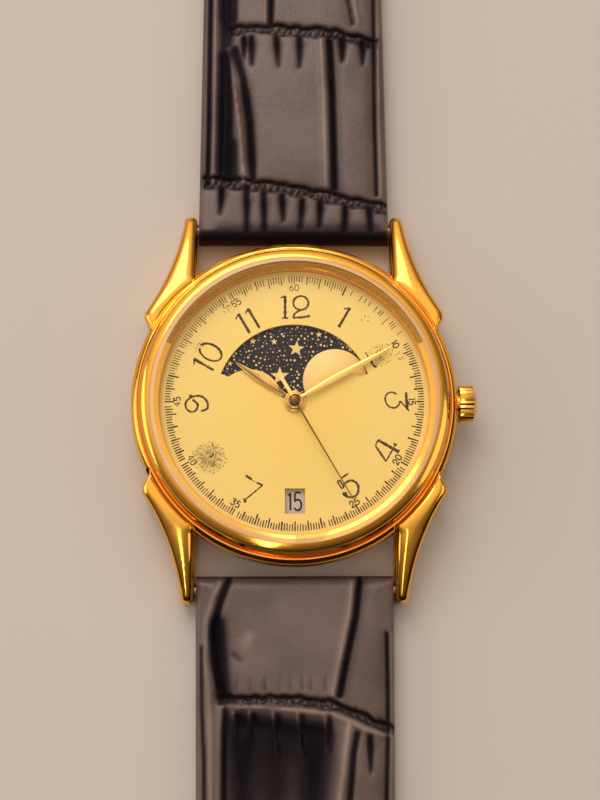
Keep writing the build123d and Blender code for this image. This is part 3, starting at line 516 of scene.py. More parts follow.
# Hour figures, drawn open with thick and thin strokes: points, then weight
hourFigures = {
    "1": (0.3, [([(0.2, 1), (0.2, 0)], 1.35), ([(0, 0.84), (0.04, 0.88), (0.2, 1)], 0.7)]),
    "one": (0.34, [([(0.2, 1), (0.2, 0)], 1.35), ([(0, 0.9), (0.2, 1)], 0.8),
                   ([(0.06, 0), (0.34, 0)], 0.8)]),
    "two": (0.78, [(arc(0.38, 0.68, 0.33, 0.31, -60, 300, 21), 1),
                   ([(0.54, 0.41), (0.3, 0.33), (0.12, 0.22), (0.03, 0.03)], 0.9),
                   ([(0.03, 0.02), (0.4, 0.03), (0.78, 0.1)], 1.2)]),
    "0": (0.66, [(arc(0.33, 0.52, 0.32, 0.52, 80, -60, 13), 1.2), (arc(0.33, 0.52, 0.32, 0.52, 105, 300, 17), 0.95)]),
    "9": (0.76, [([(0.54, 0.67), (0.31, 0.45), (0.05, 0.54), (0, 0.74), (0.12, 0.92), (0.34, 0.98), (0.54, 0.87),
                   (0.69, 0.59), (0.67, 0.28), (0.45, 0.05), (0.2, 0.02), (0.1, 0.1), (0.03, 0.31)], 1.05),
                 ([(0.6, 0.8), (0.76, 0.75)], 1.1)]),
    "3": (0.82, [([(0, 0.9), (0.74, 0.94)], 1.3), ([(0.82, 1.02), (0.38, 0.64)], 0.8),
                 ([(0.38, 0.64), (0.54, 0.59), (0.68, 0.42), (0.64, 0.18), (0.46, 0.03), (0.2, 0), (0.03, 0.14),
                   (0, 0.32), (0.09, 0.49)], 0.9)]),
    "4": (0.84, [([(0.63, 1), (0.63, 0)], 1.4), ([(0.63, 1), (0.36, 0.97)], 0.75),
                 ([(0.36, 0.97), (0, 0.25)], 1.1), ([(0, 0.25), (0.84, 0.25)], 0.7),
                 ([(0.84, 0.18), (0.84, 0.34)], 0.9), ([(0.54, 0), (0.72, 0)], 0.9)]),
    "5": (0.76, [([(0.3, 0.97), (0.63, 1)], 1),
                 ([(0.06, 0.94), (0.18, 0.94)], 0.8), ([(0.18, 0.94), (0.18, 0.58)], 0.8),
                 ([(0.18, 0.58), (0.06, 0.58)], 0.8), ([(0.06, 0.58), (0.06, 0.94)], 0.8),
                 ([(0.2, 0.66), (0.4, 0.71), (0.62, 0.66), (0.74, 0.45), (0.69, 0.22), (0.48, 0.02), (0.24, 0.05),
                   (0.1, 0.15)], 1.15),
                 ([(0.1, 0.15), (0, 0.38)], 1.5), ([(0, 0.38), (0.16, 0.3)], 1)]),
    "7": (0.8, [([(0, 1), (0.3, 0.98)], 1.2), ([(0.3, 0.98), (0.5, 0.95)], 0.35),
                ([(0.56, 0.96), (0.84, 1)], 1), ([(0.84, 1), (0.52, 0.12)], 0.75),
                ([(0.54, 0.1), (0.48, 0)], 1.9)]),
    "base of 2": (0.78, [([(0.02, 0.02), (0.42, 0.02)], 0.7), ([(0.46, 0.02), (0.74, 0.04), (0.8, 0.12)], 1.3)]),
    "trace of 8": (0.6, [([(0.52, 0.55), (0.58, 0.42), (0.56, 0.3)], 0.8)]),
}


# Strokes of a row of figures, turned and placed on the dial
def figureStrokes(figures, text, centre, height, turn, spread, gap):
    widths = [figures[c][0] * spread for c in text]
    left = -(sum(widths) + gap * (len(text) - 1)) / 2
    strokes = []
    for c, width in zip(text, widths):
        for points, weight in figures[c][1]:
            placed = []
            for x, y in points:
                x, y = (left + x * spread) * height, (y - 0.5) * height
                placed.append((centre[0] + x * math.cos(turn) - y * math.sin(turn),
                               centre[1] + x * math.sin(turn) + y * math.cos(turn)))
            strokes.append((placed, weight))
        left += width + gap
    return strokes


# Points along a smooth curve through the given ones, a set step apart
def traced(points, step):
    if len(points) > 4:
        smooth = []
        ends = [points[0]] + list(points) + [points[-1]]
        for a, b, c, d in zip(ends, ends[1:], ends[2:], ends[3:]):
            for t in (0.0, 0.25, 0.5, 0.75):
                smooth.append(tuple(
                    0.5 * (2 * b[k] + (c[k] - a[k]) * t + (2 * a[k] - 5 * b[k] + 4 * c[k] - d[k]) * t * t
                           + (3 * b[k] - a[k] - 3 * c[k] + d[k]) * t ** 3) for k in (0, 1)))
        points = smooth + [points[-1]]
    out = []
    for a, b in zip(points, points[1:]):
        count = max(1, round(math.dist(a, b) / step))
        out += [(a[0] + (b[0] - a[0]) * i / count, a[1] + (b[1] - a[1]) * i / count) for i in range(count)]
    return out + [points[-1]]


# Printed strokes: flat raised lines whose width wavers by the share called rough
def printed(name, strokes, look, body, material):
    curve = bpy.data.curves.new(name, "CURVE")
    curve.dimensions = "3D"
    curve.bevel_depth = look["width"] / 2 * mm
    curve.bevel_resolution = 0
    curve.use_fill_caps = True
    for points, weight in strokes:
        points = traced(points, look["step"])
        spline = curve.splines.new("POLY")
        spline.points.add(len(points) - 1)
        for point, (x, y) in zip(spline.points, points):
            point.co = (x * mm, y * mm, 0, 1)
            point.radius = weight * random.uniform(1 - look["rough"], 1 + look["rough"])
    piece = bpy.data.objects.new(name, curve)
    bpy.context.scene.collection.objects.link(piece)
    only(piece)
    bpy.ops.object.convert(target="MESH")
    piece = bpy.context.object
    piece.scale = (1, 1, look["thick"] / look["width"])
    piece.location = (0, 0, look["floor"] * mm)
    return finish(piece, name, body, material)


# Minute track: five ticks to a minute, the long ones on the minute. Angles are in degrees round the clock
trackLook = {
    "outer": 13.0, "short": 0.68, "long": 0.98, "lengths": (0.8, 1.15), "ticks": 300, "perMinute": 5,
    "weights": {"worn": 0.6, "long": 1.15, "short": 0.9}, "wornFrom": 24.0, "wornTo": 62.0,
    "thinFrom": 282.0, "thin": 0.66,  # from 47 round to the worn part the print is thinner
    "gaps": 0.05, "wornGaps": 0.6,  # shares of the ticks that are missing
    "figureRadius": 11.78, "figureHeight": 0.64, "spread": 1.0, "gap": 0.22, "turnedFrom": 100, "turnedTo": 260,
    "unprinted": (5, 30, 50), "faint": {55: 0.7, 60: 0.6, 40: 0.8},
    "width": 0.135, "rough": 0.25, "step": 0.3, "floor": 5.4, "thick": 0.02, "seed": 7,
}
random.seed(trackLook["seed"])
ticks = []
for step in range(trackLook["ticks"]):
    turn = step * (360 / trackLook["ticks"])
    longTick = step % trackLook["perMinute"] == 0
    worn = trackLook["wornFrom"] < turn < trackLook["wornTo"]
    if random.random() < trackLook["wornGaps" if worn else "gaps"] and not (longTick and not worn):
        continue
    length = trackLook["long" if longTick else "short"] * random.uniform(*trackLook["lengths"])
    weight = trackLook["weights"]["worn" if worn else "long" if longTick else "short"]
    if turn > trackLook["thinFrom"] or turn < trackLook["wornFrom"]:
        weight *= trackLook["thin"]
    ticks.append(([clockPlace(trackLook["outer"], turn), clockPlace(trackLook["outer"] - length, turn)], weight))
for minute in range(5, 61, 5):
    if minute in trackLook["unprinted"]:
        continue
    turn = minute * 6
    flip = math.pi if trackLook["turnedFrom"] < turn < trackLook["turnedTo"] else 0
    figure = figureStrokes(plainFigures, str(minute), clockPlace(trackLook["figureRadius"], turn),
                           trackLook["figureHeight"], outward(turn) + flip, trackLook["spread"], trackLook["gap"])
    ticks += [(points, weight * trackLook["faint"].get(minute, 1.0)) for points, weight in figure]
printed("minuteTrack", ticks, trackLook, "case", dialInk)

hourLook = {
    "radius": 9.72, "height": 2.32, "gap": 0.17,
    # clock angle: figures, whether their tops point to the middle, spread, how far the print sits off its place
    "rows": {0: (["one", "two"], False, 1.0, (0.1, 0.05)), 30: (["1"], False, 1.0, (0.1, 0.3)),
             60: (["base of 2"], False, 1.0, (0.15, 0)), 90: (["3"], False, 1.0, (0.55, 0)),
             120: (["4"], True, 1.0, (0.65, -0.05)), 150: (["5"], True, 1.0, (0.5, -0.15)),
             210: (["7"], True, 1.0, (0.2, -0.5)), 240: (["trace of 8"], True, 1.0, (0, 0)),
             270: (["9"], False, 1.0, (-0.1, -0.15)), 300: (["1", "0"], False, 1.05, (-0.28, -0.3)),
             330: (["1", "1"], False, 1.05, (0.15, -0.15))},
    "width": 0.205, "rough": 0.28, "step": 0.09, "floor": 5.4, "thick": 0.02, "seed": 21,
}
random.seed(hourLook["seed"])
hours = []
for turn, (text, flipped, spread, (dx, dy)) in hourLook["rows"].items():
    x, y = clockPlace(hourLook["radius"], turn)
    hours += figureStrokes(hourFigures, text, (x + dx, y + dy), hourLook["height"],
                           outward(turn) + (math.pi if flipped else 0), spread, hourLook["gap"])
printed("hourFigures", hours, hourLook, "case", dialInk)

# Loose specks of worn print where the 2, the 8 and the track by 10 and 11 have rubbed away
wornLook = {
    # centre, reach, count
    "patches": [((-8.5, -5.6), 1.7, 230), ((8.7, 4.9), 1.3, 110), ((-6.7, 9.7), 0.6, 26), ((-9.7, 5.5), 0.7, 26),
                ((10.6, 4.7), 0.5, 16), ((7.2, 8.6), 0.5, 8)],
    "scatter": (0.15, 1), "crowding": 0.8, "curl": 3, "tail": (0.03, 0.14),
    "width": 0.07, "rough": 0.4, "step": 0.06, "floor": 5.4, "thick": 0.016,
}
specks = []
for (x, y), reach, count in wornLook["patches"]:
    for _ in range(count):
        angle = random.uniform(0, 2 * math.pi)
        far = reach * random.uniform(*wornLook["scatter"]) ** wornLook["crowding"]
        sx, sy, lean = x + far * math.cos(angle), y + far * math.sin(angle), angle * wornLook["curl"]
        tail = random.uniform(*wornLook["tail"])
        specks.append(([(sx, sy), (sx + tail * math.cos(lean), sy + tail * math.sin(lean))], 1))
printed("wornPrint", specks, wornLook, "case", dialInk)

dateLook = {
    "days": 31, "shown": 15, "radius": 10.0, "height": 1.75, "spread": 0.72, "gap": 0.16,
    "width": 0.21, "rough": 0.05, "step": 0.15, "floor": 4.74, "thick": 0.02,
}
dates = []
for day in range(1, dateLook["days"] + 1):
    turn = 180 - (day - dateLook["shown"]) * 360 / dateLook["days"]
    dates += figureStrokes(plainFigures, str(day), clockPlace(dateLook["radius"], turn), dateLook["height"],
                           outward(turn) + math.pi, dateLook["spread"], dateLook["gap"])
printed("dateFigures", dates, dateLook, "date_ring", dateInk)
print("figures printed")

# Moon disc: two gilt moons, stars and star dust, printed a hair proud
skyLook = {
    "top": 4.94, "moonRadius": 3.25, "moonReach": 4.67, "moonAngle": 61.3, "moonSides": 72, "moonEdge": 0.008,
    "stars": [(0.2, 5.54, 0.84), (-1.47, 2.7, 0.98), (-4.2, 6.32, 0.36), (-2.05, 6.26, 0.36), (2.5, 7.0, 0.34),
              (-6.5, 4.0, 0.3), (5.7, 5.5, 0.3), (0.1, 1.2, 0.3)],  # x, y, size
    "points": 5, "inner": 0.42, "starTurn": 0.2, "lift": 0.02, "dotLift": 0.6,
    "dots": 500, "dotSides": 7, "dotSizes": [0.04, 0.045, 0.055, 0.065, 0.08, 0.1, 0.12], "radius": 8.1,
    "apart": 0.28, "fromMoon": 0.15, "fromStar": 0.1, "fromAxis": 1.1, "seed": 3, "smoothAngle": 30,
}
middle = skyLook["top"] + skyLook["lift"] / 2
sky = []
moons = [clockPlace(skyLook["moonReach"], skyLook["moonAngle"] + half) for half in (0, 180)]
for x, y in moons:
    sky.append(cylinder(skyLook["moonSides"], skyLook["moonRadius"], skyLook["lift"], (x, y, middle)))
    editAll()
    bpy.ops.mesh.bevel(offset=skyLook["moonEdge"] * mm, segments=2)
    bpy.ops.object.mode_set(mode="OBJECT")

random.seed(skyLook["seed"])
stars = skyLook["stars"] + [(-x, -y, size) for x, y, size in skyLook["stars"]]
for x, y, size in stars:
    star = cylinder(2 * skyLook["points"], size, skyLook["lift"], (x, y, middle),
                    (0, 0, random.uniform(-skyLook["starTurn"], skyLook["starTurn"])))
    for vertex in star.data.vertices:
        if round(math.degrees(math.atan2(vertex.co.x, vertex.co.y)) / (180 / skyLook["points"])) % 2:
            vertex.co.x *= skyLook["inner"]
            vertex.co.y *= skyLook["inner"]
    sky.append(star)

dot = cylinder(skyLook["dotSides"], 1, skyLook["lift"] * skyLook["dotLift"])
placed = []
while len(placed) < skyLook["dots"]:
    reach, turn = skyLook["radius"] * math.sqrt(random.random()), random.uniform(0, 2 * math.pi)
    x, y = reach * math.cos(turn), reach * math.sin(turn)
    size = random.choice(skyLook["dotSizes"])
    nearMoon = any(math.hypot(x - mx, y - my) < skyLook["moonRadius"] + skyLook["fromMoon"] for mx, my in moons)
    nearStar = any(math.hypot(x - sx, y - sy) < ss + skyLook["fromStar"] for sx, sy, ss in stars)
    nearDot = any(math.hypot(x - px, y - py) < skyLook["apart"] for px, py in placed)
    if nearMoon or nearStar or nearDot or reach < skyLook["fromAxis"]:
        continue
    placed.append((x, y))
    grain = dot.copy()
    grain.data = dot.data.copy()
    bpy.context.scene.collection.objects.link(grain)
    grain.scale = (size, size, 1)
    grain.location = (x * mm, y * mm, (skyLook["top"] + skyLook["lift"] * skyLook["dotLift"] / 2) * mm)
    sky.append(grain)
bpy.data.objects.remove(dot)
finish(joined(sky), "moonsAndStars", "moon", moonGold, skyLook["smoothAngle"])
print("moon disc painted")

# Hands: a shallow ridge along each leaf, set on the flat CAD hand
handLook = {
    "hourHandFacets": {"body": "hours", "top": 5.8, "angle": 303.5, "start": 0.98, "length": 7.08, "width": 0.7,
                       "ridge": 0.13},
    "minuteHandFacets": {"body": "minutes", "top": 6.15, "angle": 60.7, "start": 0.76, "length": 11.12,
                         "width": 0.62, "ridge": 0.05},
}
leafLook = {
    "stations": 28, "wideShare": 0.42, "root": 0.28, "tip": 0.09, "edge": 0.012, "sunk": 0.02,
    "rootCurve": 1.5, "tipCurve": 1.15, "leastRise": 0.25, "smoothAngle": 25,
}
for name, hand in handLook.items():
    rows = []
    for i in range(leafLook["stations"] + 1):
        t = i / leafLook["stations"]
        if t < leafLook["wideShare"]:
            k = t / leafLook["wideShare"]
            narrow, full = leafLook["root"], math.sin(k * math.pi / 2) ** leafLook["rootCurve"]
        else:
            k = (t - leafLook["wideShare"]) / (1 - leafLook["wideShare"])
            narrow, full = leafLook["tip"], 1 - k ** leafLook["tipCurve"]
        half = (narrow + (hand["width"] - narrow) * full) / 2
        rise = hand["ridge"] * min(1.0, 2 * half / hand["width"] + leafLook["leastRise"])
        s = hand["start"] + (hand["length"] - hand["start"]) * t
        section = [(-half, -leafLook["sunk"]), (-half, leafLook["edge"]), (0, rise), (half, leafLook["edge"]),
                   (half, -leafLook["sunk"]), (-half, -leafLook["sunk"])]
        rows.append([(x, s, hand["top"] + z) for x, z in section])
    piece = gridFrom(name, rows, closed=True)
    piece.rotation_euler = (0, 0, outward(hand["angle"]))
    finish(piece, name, hand["body"], handGold, leafLook["smoothAngle"])

# Hubs: turned rings on the two leaf hands and a domed cap with its pivot on the second hand
hubLook = {
    # name, body, radius, thickness, height
    "rings": [("hourHubRing", "hours", 0.93, 0.1, 5.8), ("minuteHubRing", "minutes", 0.68, 0.08, 6.15)],
    "ringSegments": (64, 12), "ringSmooth": 60, "capSegments": (48, 24), "capSmooth": 40,
    "capRadius": 0.56, "capHeight": 0.2, "capFloor": 6.39, "pivotSides": 24, "pivotRadius": 0.11, "pivotTop": 6.64,
}
around, through = hubLook["ringSegments"]
for name, body, radius, thick, floor in hubLook["rings"]:
    bpy.ops.mesh.primitive_torus_add(
        major_segments=around, minor_segments=through, major_radius=radius * mm, minor_radius=thick * mm,
        location=(0, 0, floor * mm))
    finish(bpy.context.object, name, body, handGold, hubLook["ringSmooth"])
capFloor = (0, 0, hubLook["capFloor"] * mm)
around, rings = hubLook["capSegments"]
bpy.ops.mesh.primitive_uv_sphere_add(segments=around, ring_count=rings, radius=1 * mm, location=capFloor)
cap = bpy.context.object
editAll()
bpy.ops.mesh.bisect(plane_co=capFloor, plane_no=(0, 0, 1), clear_inner=True, use_fill=True)
bpy.ops.object.mode_set(mode="OBJECT")
cap.scale = (hubLook["capRadius"], hubLook["capRadius"], hubLook["capHeight"])
pivot = cylinder(hubLook["pivotSides"], hubLook["pivotRadius"], hubLook["pivotTop"] - hubLook["capFloor"],
                 (0, 0, (hubLook["pivotTop"] + hubLook["capFloor"]) / 2))
for part in (cap, pivot):
    only(part)
    bpy.ops.object.transform_apply(location=True, rotation=True, scale=True)
finish(joined([cap, pivot]), "secondHubCap", "seconds", needleGold, hubLook["capSmooth"])
print("hands faceted")


# Distance of each point from a line, and how far along the line it lies
def lineDistance(x, y, points):
    best, share = np.full(x.shape, 1e9), np.zeros(x.shape)
    lengths = [math.dist(a, b) for a, b in zip(points, points[1:])]
    before = 0.0
    for (ax, ay), (bx, by), length in zip(points, points[1:], lengths):
        t = np.clip(((x - ax) * (bx - ax) + (y - ay) * (by - ay)) / max(length * length, 1e-9), 0, 1)
        far = np.hypot(x - ax - t * (bx - ax), y - ay - t * (by - ay))
        nearer = far < best
        best = np.where(nearer, far, best)
        share = np.where(nearer, (before + t * length) / sum(lengths), share)
        before += length
    return best, share


# How strongly each kind of stroke paints shade into the leather's colour, ridges a painted highlight, and how a stroke
# ends
pressLook = {"reach": 4, "leastWidth": 0.35, "flat": 0.3, "ridge": 1.1, "groove": 1.5, "hollow": 1.1}


# Height of the pressed leather and its painted shade value: grooves and ridges don't add up, the broad hollows under
# them do. Shade strokes are painted shade only
# A stroke has a kind, points, a size, a width and, where it tapers, the share that is left at its end
def pressedPattern(x, y, strokes):
    look = pressLook
    pressed = {kind: np.zeros(x.shape) for kind in ("groove", "ridge", "hollow", "shade")}
    for kind, points, size, width, *taper in strokes:
        ys = [p[1] for p in points]
        near = (y > min(ys) - look["reach"] * width) & (y < max(ys) + look["reach"] * width)
        if not near.any():
            continue
        far, share = lineDistance(x[near], y[near], points)
        scale = 1 - (1 - (taper[0] if taper else 1)) * share
        spread = width * (look["leastWidth"] + (1 - look["leastWidth"]) * scale)
        shape = size * scale * np.exp(-(far / spread) ** 2)
        together = np.maximum if kind in ("groove", "ridge") else np.add
        pressed[kind][near] = together(pressed[kind][near], shape)
    low, high, broad, dark = pressed["groove"], pressed["ridge"], pressed["hollow"], pressed["shade"]
    # Painted light: grooves and hollows darken the colour as painted shade, ridges lighten it as a painted highlight,
    # and shade strokes add painted shade
    colour = look["flat"] - look["ridge"] * high + look["groove"] * low + look["hollow"] * broad + dark
    return high - low - broad, np.clip(colour, 0, 1)


# A band of crossed creases between two rows of scales: two jagged lines and the short cuts from one to the other
creaseLook = {
    "bed": (0.12, 0.9), "pitch": 0.7, "jag": 0.2, "leading": (-0.5, 0.2, 0.15), "trailing": (0.45, 0.38, 0.2),
    "cut": (0.2, 0.6), "cutReach": 0.95, "cutPress": (0.26, 0.12, 0.8),
    "backShare": 0.75, "backPress": (0.2, 0.11, 0.8),
}


def creaseBand(points, rng, width=1.0):
    look = creaseLook
    strokes = [("hollow", points, look["bed"][0], look["bed"][1] * width)]
    for place, depth, thick in (look["leading"], look["trailing"]):
        shift, jagged = place * width, []
        for (ax, ay), (bx, by) in zip(points, points[1:]):
            count = max(2, int(abs(bx - ax) / look["pitch"]))
            jagged += [(ax + (bx - ax) * i / count,
                        ay + (by - ay) * i / count + shift + rng.uniform(-look["jag"], look["jag"]))
                       for i in range(count)]
        jagged.append((points[-1][0], points[-1][1] + shift))
        strokes.append(("groove", jagged, depth, thick))
        if shift < 0:
            for (ax, ay), (bx, by) in zip(jagged, jagged[1:]):
                reach, rise = rng.uniform(*look["cut"]), look["cutReach"] * width
                strokes.append(("groove", [(ax, ay), (ax + reach, by + rise)], *look["cutPress"]))
                if rng.random() < look["backShare"]:
                    strokes.append(("groove", [(bx, by), (bx - reach, ay + rise)], *look["backPress"]))
    return strokes


# Tapering dents that run from a crease into the scales, with soft lobes between them
dentLook = {
    "lean": 0.25, "bend": 0.4, "dent": (0.4, 0.3, 0.4), "lobeSide": 0.15, "lobeFrom": 0.3, "lobe": (0.2, 0.62, 0.5),
}


def dentRow(places, rng):
    look = dentLook
    strokes = []
    for x, start, end in places:
        lean = rng.uniform(-look["lean"], look["lean"])
        middle, lobe = (start + end) / 2, start + (end - start) * look["lobeFrom"]
        strokes.append(("groove", [(x, start), (x + lean * look["bend"], middle), (x + lean, end)], *look["dent"]))
        strokes.append(("hollow", [(x + look["lobeSide"], lobe), (x + lean, end)], *look["lobe"]))
    return strokes


# A groove with the raised fold that lies beside it, over a shallow hollow; the last three are shares of the groove's
foldLook = {"hollowSide": 0.4, "ridgeWidth": 1.05, "hollowDepth": 0.35, "hollowWidth": 2.6}


def fold(points, side, depth=0.4, width=0.36, apart=0.8, rise=0.2):
    look = foldLook
    return [("groove", points, depth, width),
            ("ridge", [(x + side * apart, y) for x, y in points], rise, width * look["ridgeWidth"]),
            ("hollow", [(x - side * look["hollowSide"], y) for x, y in points],
             depth * look["hollowDepth"], width * look["hollowWidth"])]


# The length of strap that the photograph doesn't show: rows of scales of about the same size, each with its band
scaleLook = {
    "half": 9.2, "lastRow": 6, "slope": 0.09, "bow": 0.3, "length": (12.5, 15.5), "columnFrom": (2.6, 3.8),
    "columnApart": (4.8, 7.4), "columnRoom": 2, "columnLean": 0.8, "columnBend": 0.4, "foldStart": 1.2, "foldEnd": 0.6,
    "foldDepth": (0.3, 0.42), "foldWidth": (0.24, 0.34),
    "dentFrom": 1.6, "dentApart": (1.7, 2.4), "dentRoom": 1, "dentStart": 0.8, "dentEnd": (2.8, 4.2),
}


def rowsOfScales(start, end, side, rng):
    look, half = scaleLook, scaleLook["half"]
    strokes = []
    y = start
    while y < end - look["lastRow"]:
        slope = rng.uniform(-look["slope"], look["slope"])
        middle = y + rng.uniform(-look["bow"], look["bow"])
        strokes += creaseBand([(-half, side * (y - slope * half)), (0, side * middle),
                               (half, side * (y + slope * half))], rng)
        length = rng.uniform(*look["length"])
        column = -half + rng.uniform(*look["columnFrom"])
        while column < half - look["columnRoom"]:
            lean = rng.uniform(-look["columnLean"], look["columnLean"])
            strokes += fold([(column, side * (y + look["foldStart"])),
                             (column + lean * look["columnBend"], side * (y + length / 2)),
                             (column + lean, side * (y + length - look["foldEnd"]))], rng.choice((-1, 1)),
                            rng.uniform(*look["foldDepth"]), rng.uniform(*look["foldWidth"]))
            column += rng.uniform(*look["columnApart"])
        dent = -half + look["dentFrom"]
        while dent < half - look["dentRoom"]:
            tip = y + rng.uniform(*look["dentEnd"])
            strokes += dentRow([(dent, side * (y + look["dentStart"]), side * tip)], rng)
            dent += rng.uniform(*look["dentApart"])
        y += length
    return strokes


def between(y, points):
    return float(np.interp(y, [p[0] for p in points], [p[1] for p in points]))


# Straps: widths, reaches from the dial's centre and heights; "split" is where the upper leather meets its lining
strapLook = {
    "across": 108, "under": 10, "crowding": 1.2, "nearStep": 0.2, "farStep": 0.3, "detailEnd": 46.0,
    "edgeRound": 0.6, "squareness": 0.98, "least": 0.02, "foldRoom": 0.9, "edgeCalm": 0.6, "floorGap": 0.05,
    "nearHalf": 9.9, "farHalf": 9.0, "taperFrom": 17.2, "upperTaper": 73.5, "lowerTaper": 100.5,
    "crown": 3.9, "crownDrop": 0.75, "barReach": 18.7, "barHeight": 1.9, "loopRadius": 1.5, "barHole": 0.84,
    "buckleReach": 90.7, "buckleHeight": 2.0, "buckleLoop": 1.1, "buckleHole": 0.74,
    "slotReach": 88.8, "slot": (2.3, 6.2, 4),
    "split": [(17.2, 1.9), (19.9, 1.9), (22.7, 1.1), (52.7, 1.6), (83.7, 1.6), (83.71, 0.9), (92.0, 0.9)],
    "top": [(18.7, 3.4), (22.0, 3.55), (26.0, 3.77), (31.7, 3.9)],
    "upperTop": [(45.0, 3.8), (60.0, 3.6), (75.0, 3.35), (90.7, 3.1)],
    "lowerTop": [(50.0, 3.75), (75.0, 3.1), (100.0, 2.4), (130.7, 2.0)],
    "liningTop": (84.0, 1.6), "liningEnd": 83.6, "liningStep": 0.8, "liningShows": 17.55,
    "liningUnder": [(18.7, 0.4), (52.7, 0.9), (84.0, 0.9)], "lowerUnder": [(18.7, 0.4), (52.7, 0.0), (131, 0.0)],
    "noseShade": {1: 0.4, -1: -0.75}, "tipStart": 117.7, "tipLength": 13.0, "tipLeast": 0.25, "tipCurve": (1.7, 0.66),
    "holes": 6, "firstHole": 100.7, "holePitch": 6.5, "holeRadius": 1.1, "holeSides": 32, "holeDepth": 12,
    "holeMiddle": 2, "boreSides": 28, "boreLength": 24, "smoothAngle": 50, "liningSmooth": 40,
}
noseStations = [strapLook["barReach"] - strapLook["loopRadius"] * math.cos(math.radians(a))
                for a in (3, 12, 21, 30, 40, 50, 60, 70, 80)]


# One ring of points round the strap with the groove value of each, its painted shade and highlight
def strapRow(y, side, half, top, bottom, strokes):
    look = strapLook
    share = np.linspace(-1, 1, look["across"] + 1)
    x = np.sign(share) * (1 - (1 - np.abs(share)) ** look["crowding"]) * half
    room = max((top - bottom) / 2, look["least"])
    radius = min(look["edgeRound"], room, half * 0.9 + 0.01)
    outside = np.clip((np.abs(x) - (half - radius)) / radius, 0, 1)
    z = np.minimum(top, look["crown"] - look["crownDrop"] * (x / look["nearHalf"]) ** 2)
    z = z - radius * (1 - np.sqrt(1 - outside * outside * look["squareness"]))
    height, paintedShade = pressedPattern(x, np.full(x.shape, side * y), strokes)
    z = np.maximum(z + height * min(1.0, room / look["foldRoom"]) * (1 - look["edgeCalm"] * outside),
                   bottom + look["floorGap"] * min(1, room))
    # Painted shade: the nose darkens towards the spring bar, where the strap curves down out of the light
    paintedShade = np.maximum(paintedShade, np.clip(look["barReach"] + look["noseShade"][side] - y, 0, 1) if strokes else 0)
    under = look["under"] + 1
    upper = np.column_stack((x, np.full(x.shape, side * y), z))
    lower = np.column_stack((np.linspace(half, -half, under), np.full(under, side * y), np.full(under, bottom)))
    values = np.concatenate((paintedShade, np.full(under, pressLook["flat"]), paintedShade[:1]))
    return np.concatenate((upper, lower, upper[:1])), values


def strapShell(name, stations, side, halfAt, topAt, bottomAt, strokes):
    made = [strapRow(y, side, halfAt(y), topAt(y), bottomAt(y), strokes) for y in stations]
    return gridFrom(name, [row for row, _ in made], [values for _, values in made], closed=True)


# Height of the rounded nose round the spring bar, and of the loop round the buckle's bar; side is 1 above, -1 below
def nose(y, side):
    drop = min(1.0, max(0.0, (strapLook["barReach"] - y) / strapLook["loopRadius"]))
    return strapLook["barHeight"] + side * strapLook["loopRadius"] * math.sqrt(max(0.0, 1 - drop * drop))


def buckleEnd(y, side):
    drop = min(1.0, (y - strapLook["buckleReach"]) / strapLook["buckleLoop"])
    return strapLook["buckleHeight"] + side * strapLook["buckleLoop"] * math.sqrt(max(0.0, 1 - drop * drop))


def stationsTo(end):
    return (noseStations + list(np.arange(strapLook["barReach"], strapLook["detailEnd"], strapLook["nearStep"]))
            + list(np.arange(strapLook["detailEnd"], end, strapLook["farStep"])))


def halfWidth(y, taper):
    near, far = strapLook["nearHalf"], strapLook["farHalf"]
    return near - (near - far) * min(1.0, (y - strapLook["taperFrom"]) / taper)


# Bores a strap's end for the spring bar or the buckle's bar
def bored(piece, side, end="bar"):
    place = (0, side * strapLook[end + "Reach"], strapLook[end + "Height"])
    radius, length = strapLook[end + "Hole"], strapLook["boreLength"]
    cutAway(piece, cylinder(strapLook["boreSides"], radius, length, place, (0, math.pi / 2, 0)))


rng = random.Random(11)

# Upper strap, as far as it was seen: folds down its length, two creases and the dents beside them, with painted shade
# strokes along the left side and across the nose
upperLines = fold([(-8.76, 46), (-8.85, 30), (-8.95, 23.6)], 1, 0.34, 0.22, 0.52, 0.16)
upperLines += [
    ("hollow", [(-7.1, 46), (-7.1, 37), (-7.15, 30), (-7.3, 25)], 0.5, 0.75),
    ("ridge", [(-6.95, 38.6), (-6.36, 34.85), (-5.6, 29.29), (-5.17, 23.6)], 0.3, 0.3),
    ("groove", [(-6.1, 38.4), (-5.25, 35.08), (-4.6, 30.4), (-4.23, 24)], 0.4, 0.36),
    ("shade", [(-7.2, 37.6), (-7.1, 24.6)], 0.5, 0.75), ("shade", [(-6.2, 28), (-6.1, 24.6)], 0.35, 0.5),
    ("shade", [(-7, 46), (-7, 42.4)], 0.4, 0.9), ("shade", [(-7.5, 18.4), (8.5, 18.6)], 0.35, 0.9),
    ("hollow", [(-5, 33.5), (-4.3, 26)], 0.14, 0.9),
    ("ridge", [(-2.9, 46), (-2.9, 41.2)], 0.2, 0.28), ("groove", [(-2.3, 46), (-2.4, 41.2)], 0.4, 0.3),
    ("groove", [(-6.1, 46), (-6.2, 41.4)], 0.2, 0.25),
]
upperLines += fold([(3.85, 39.4), (4.1, 33), (4.18, 28), (4.25, 23)], -1, 0.46, 0.3, 0.86, 0.24)
upperLines += fold([(8.66, 46), (8.6, 30.4), (8.7, 22.4)], 1, 0.28, 0.2, 0.44, 0.12)
upperLines += fold([(5.6, 46), (6.4, 41.4)], 1, 0.22, 0.22, 0.6, 0.12)
upperLines += dentRow([(-5.2, 39.7, 37.4), (-4.4, 39.7, 36.7), (-1.75, 39.7, 36.5), (0.7, 39.7, 36.4),
                       (5.25, 39.6, 37.2), (7.4, 39.4, 36.9)], rng)
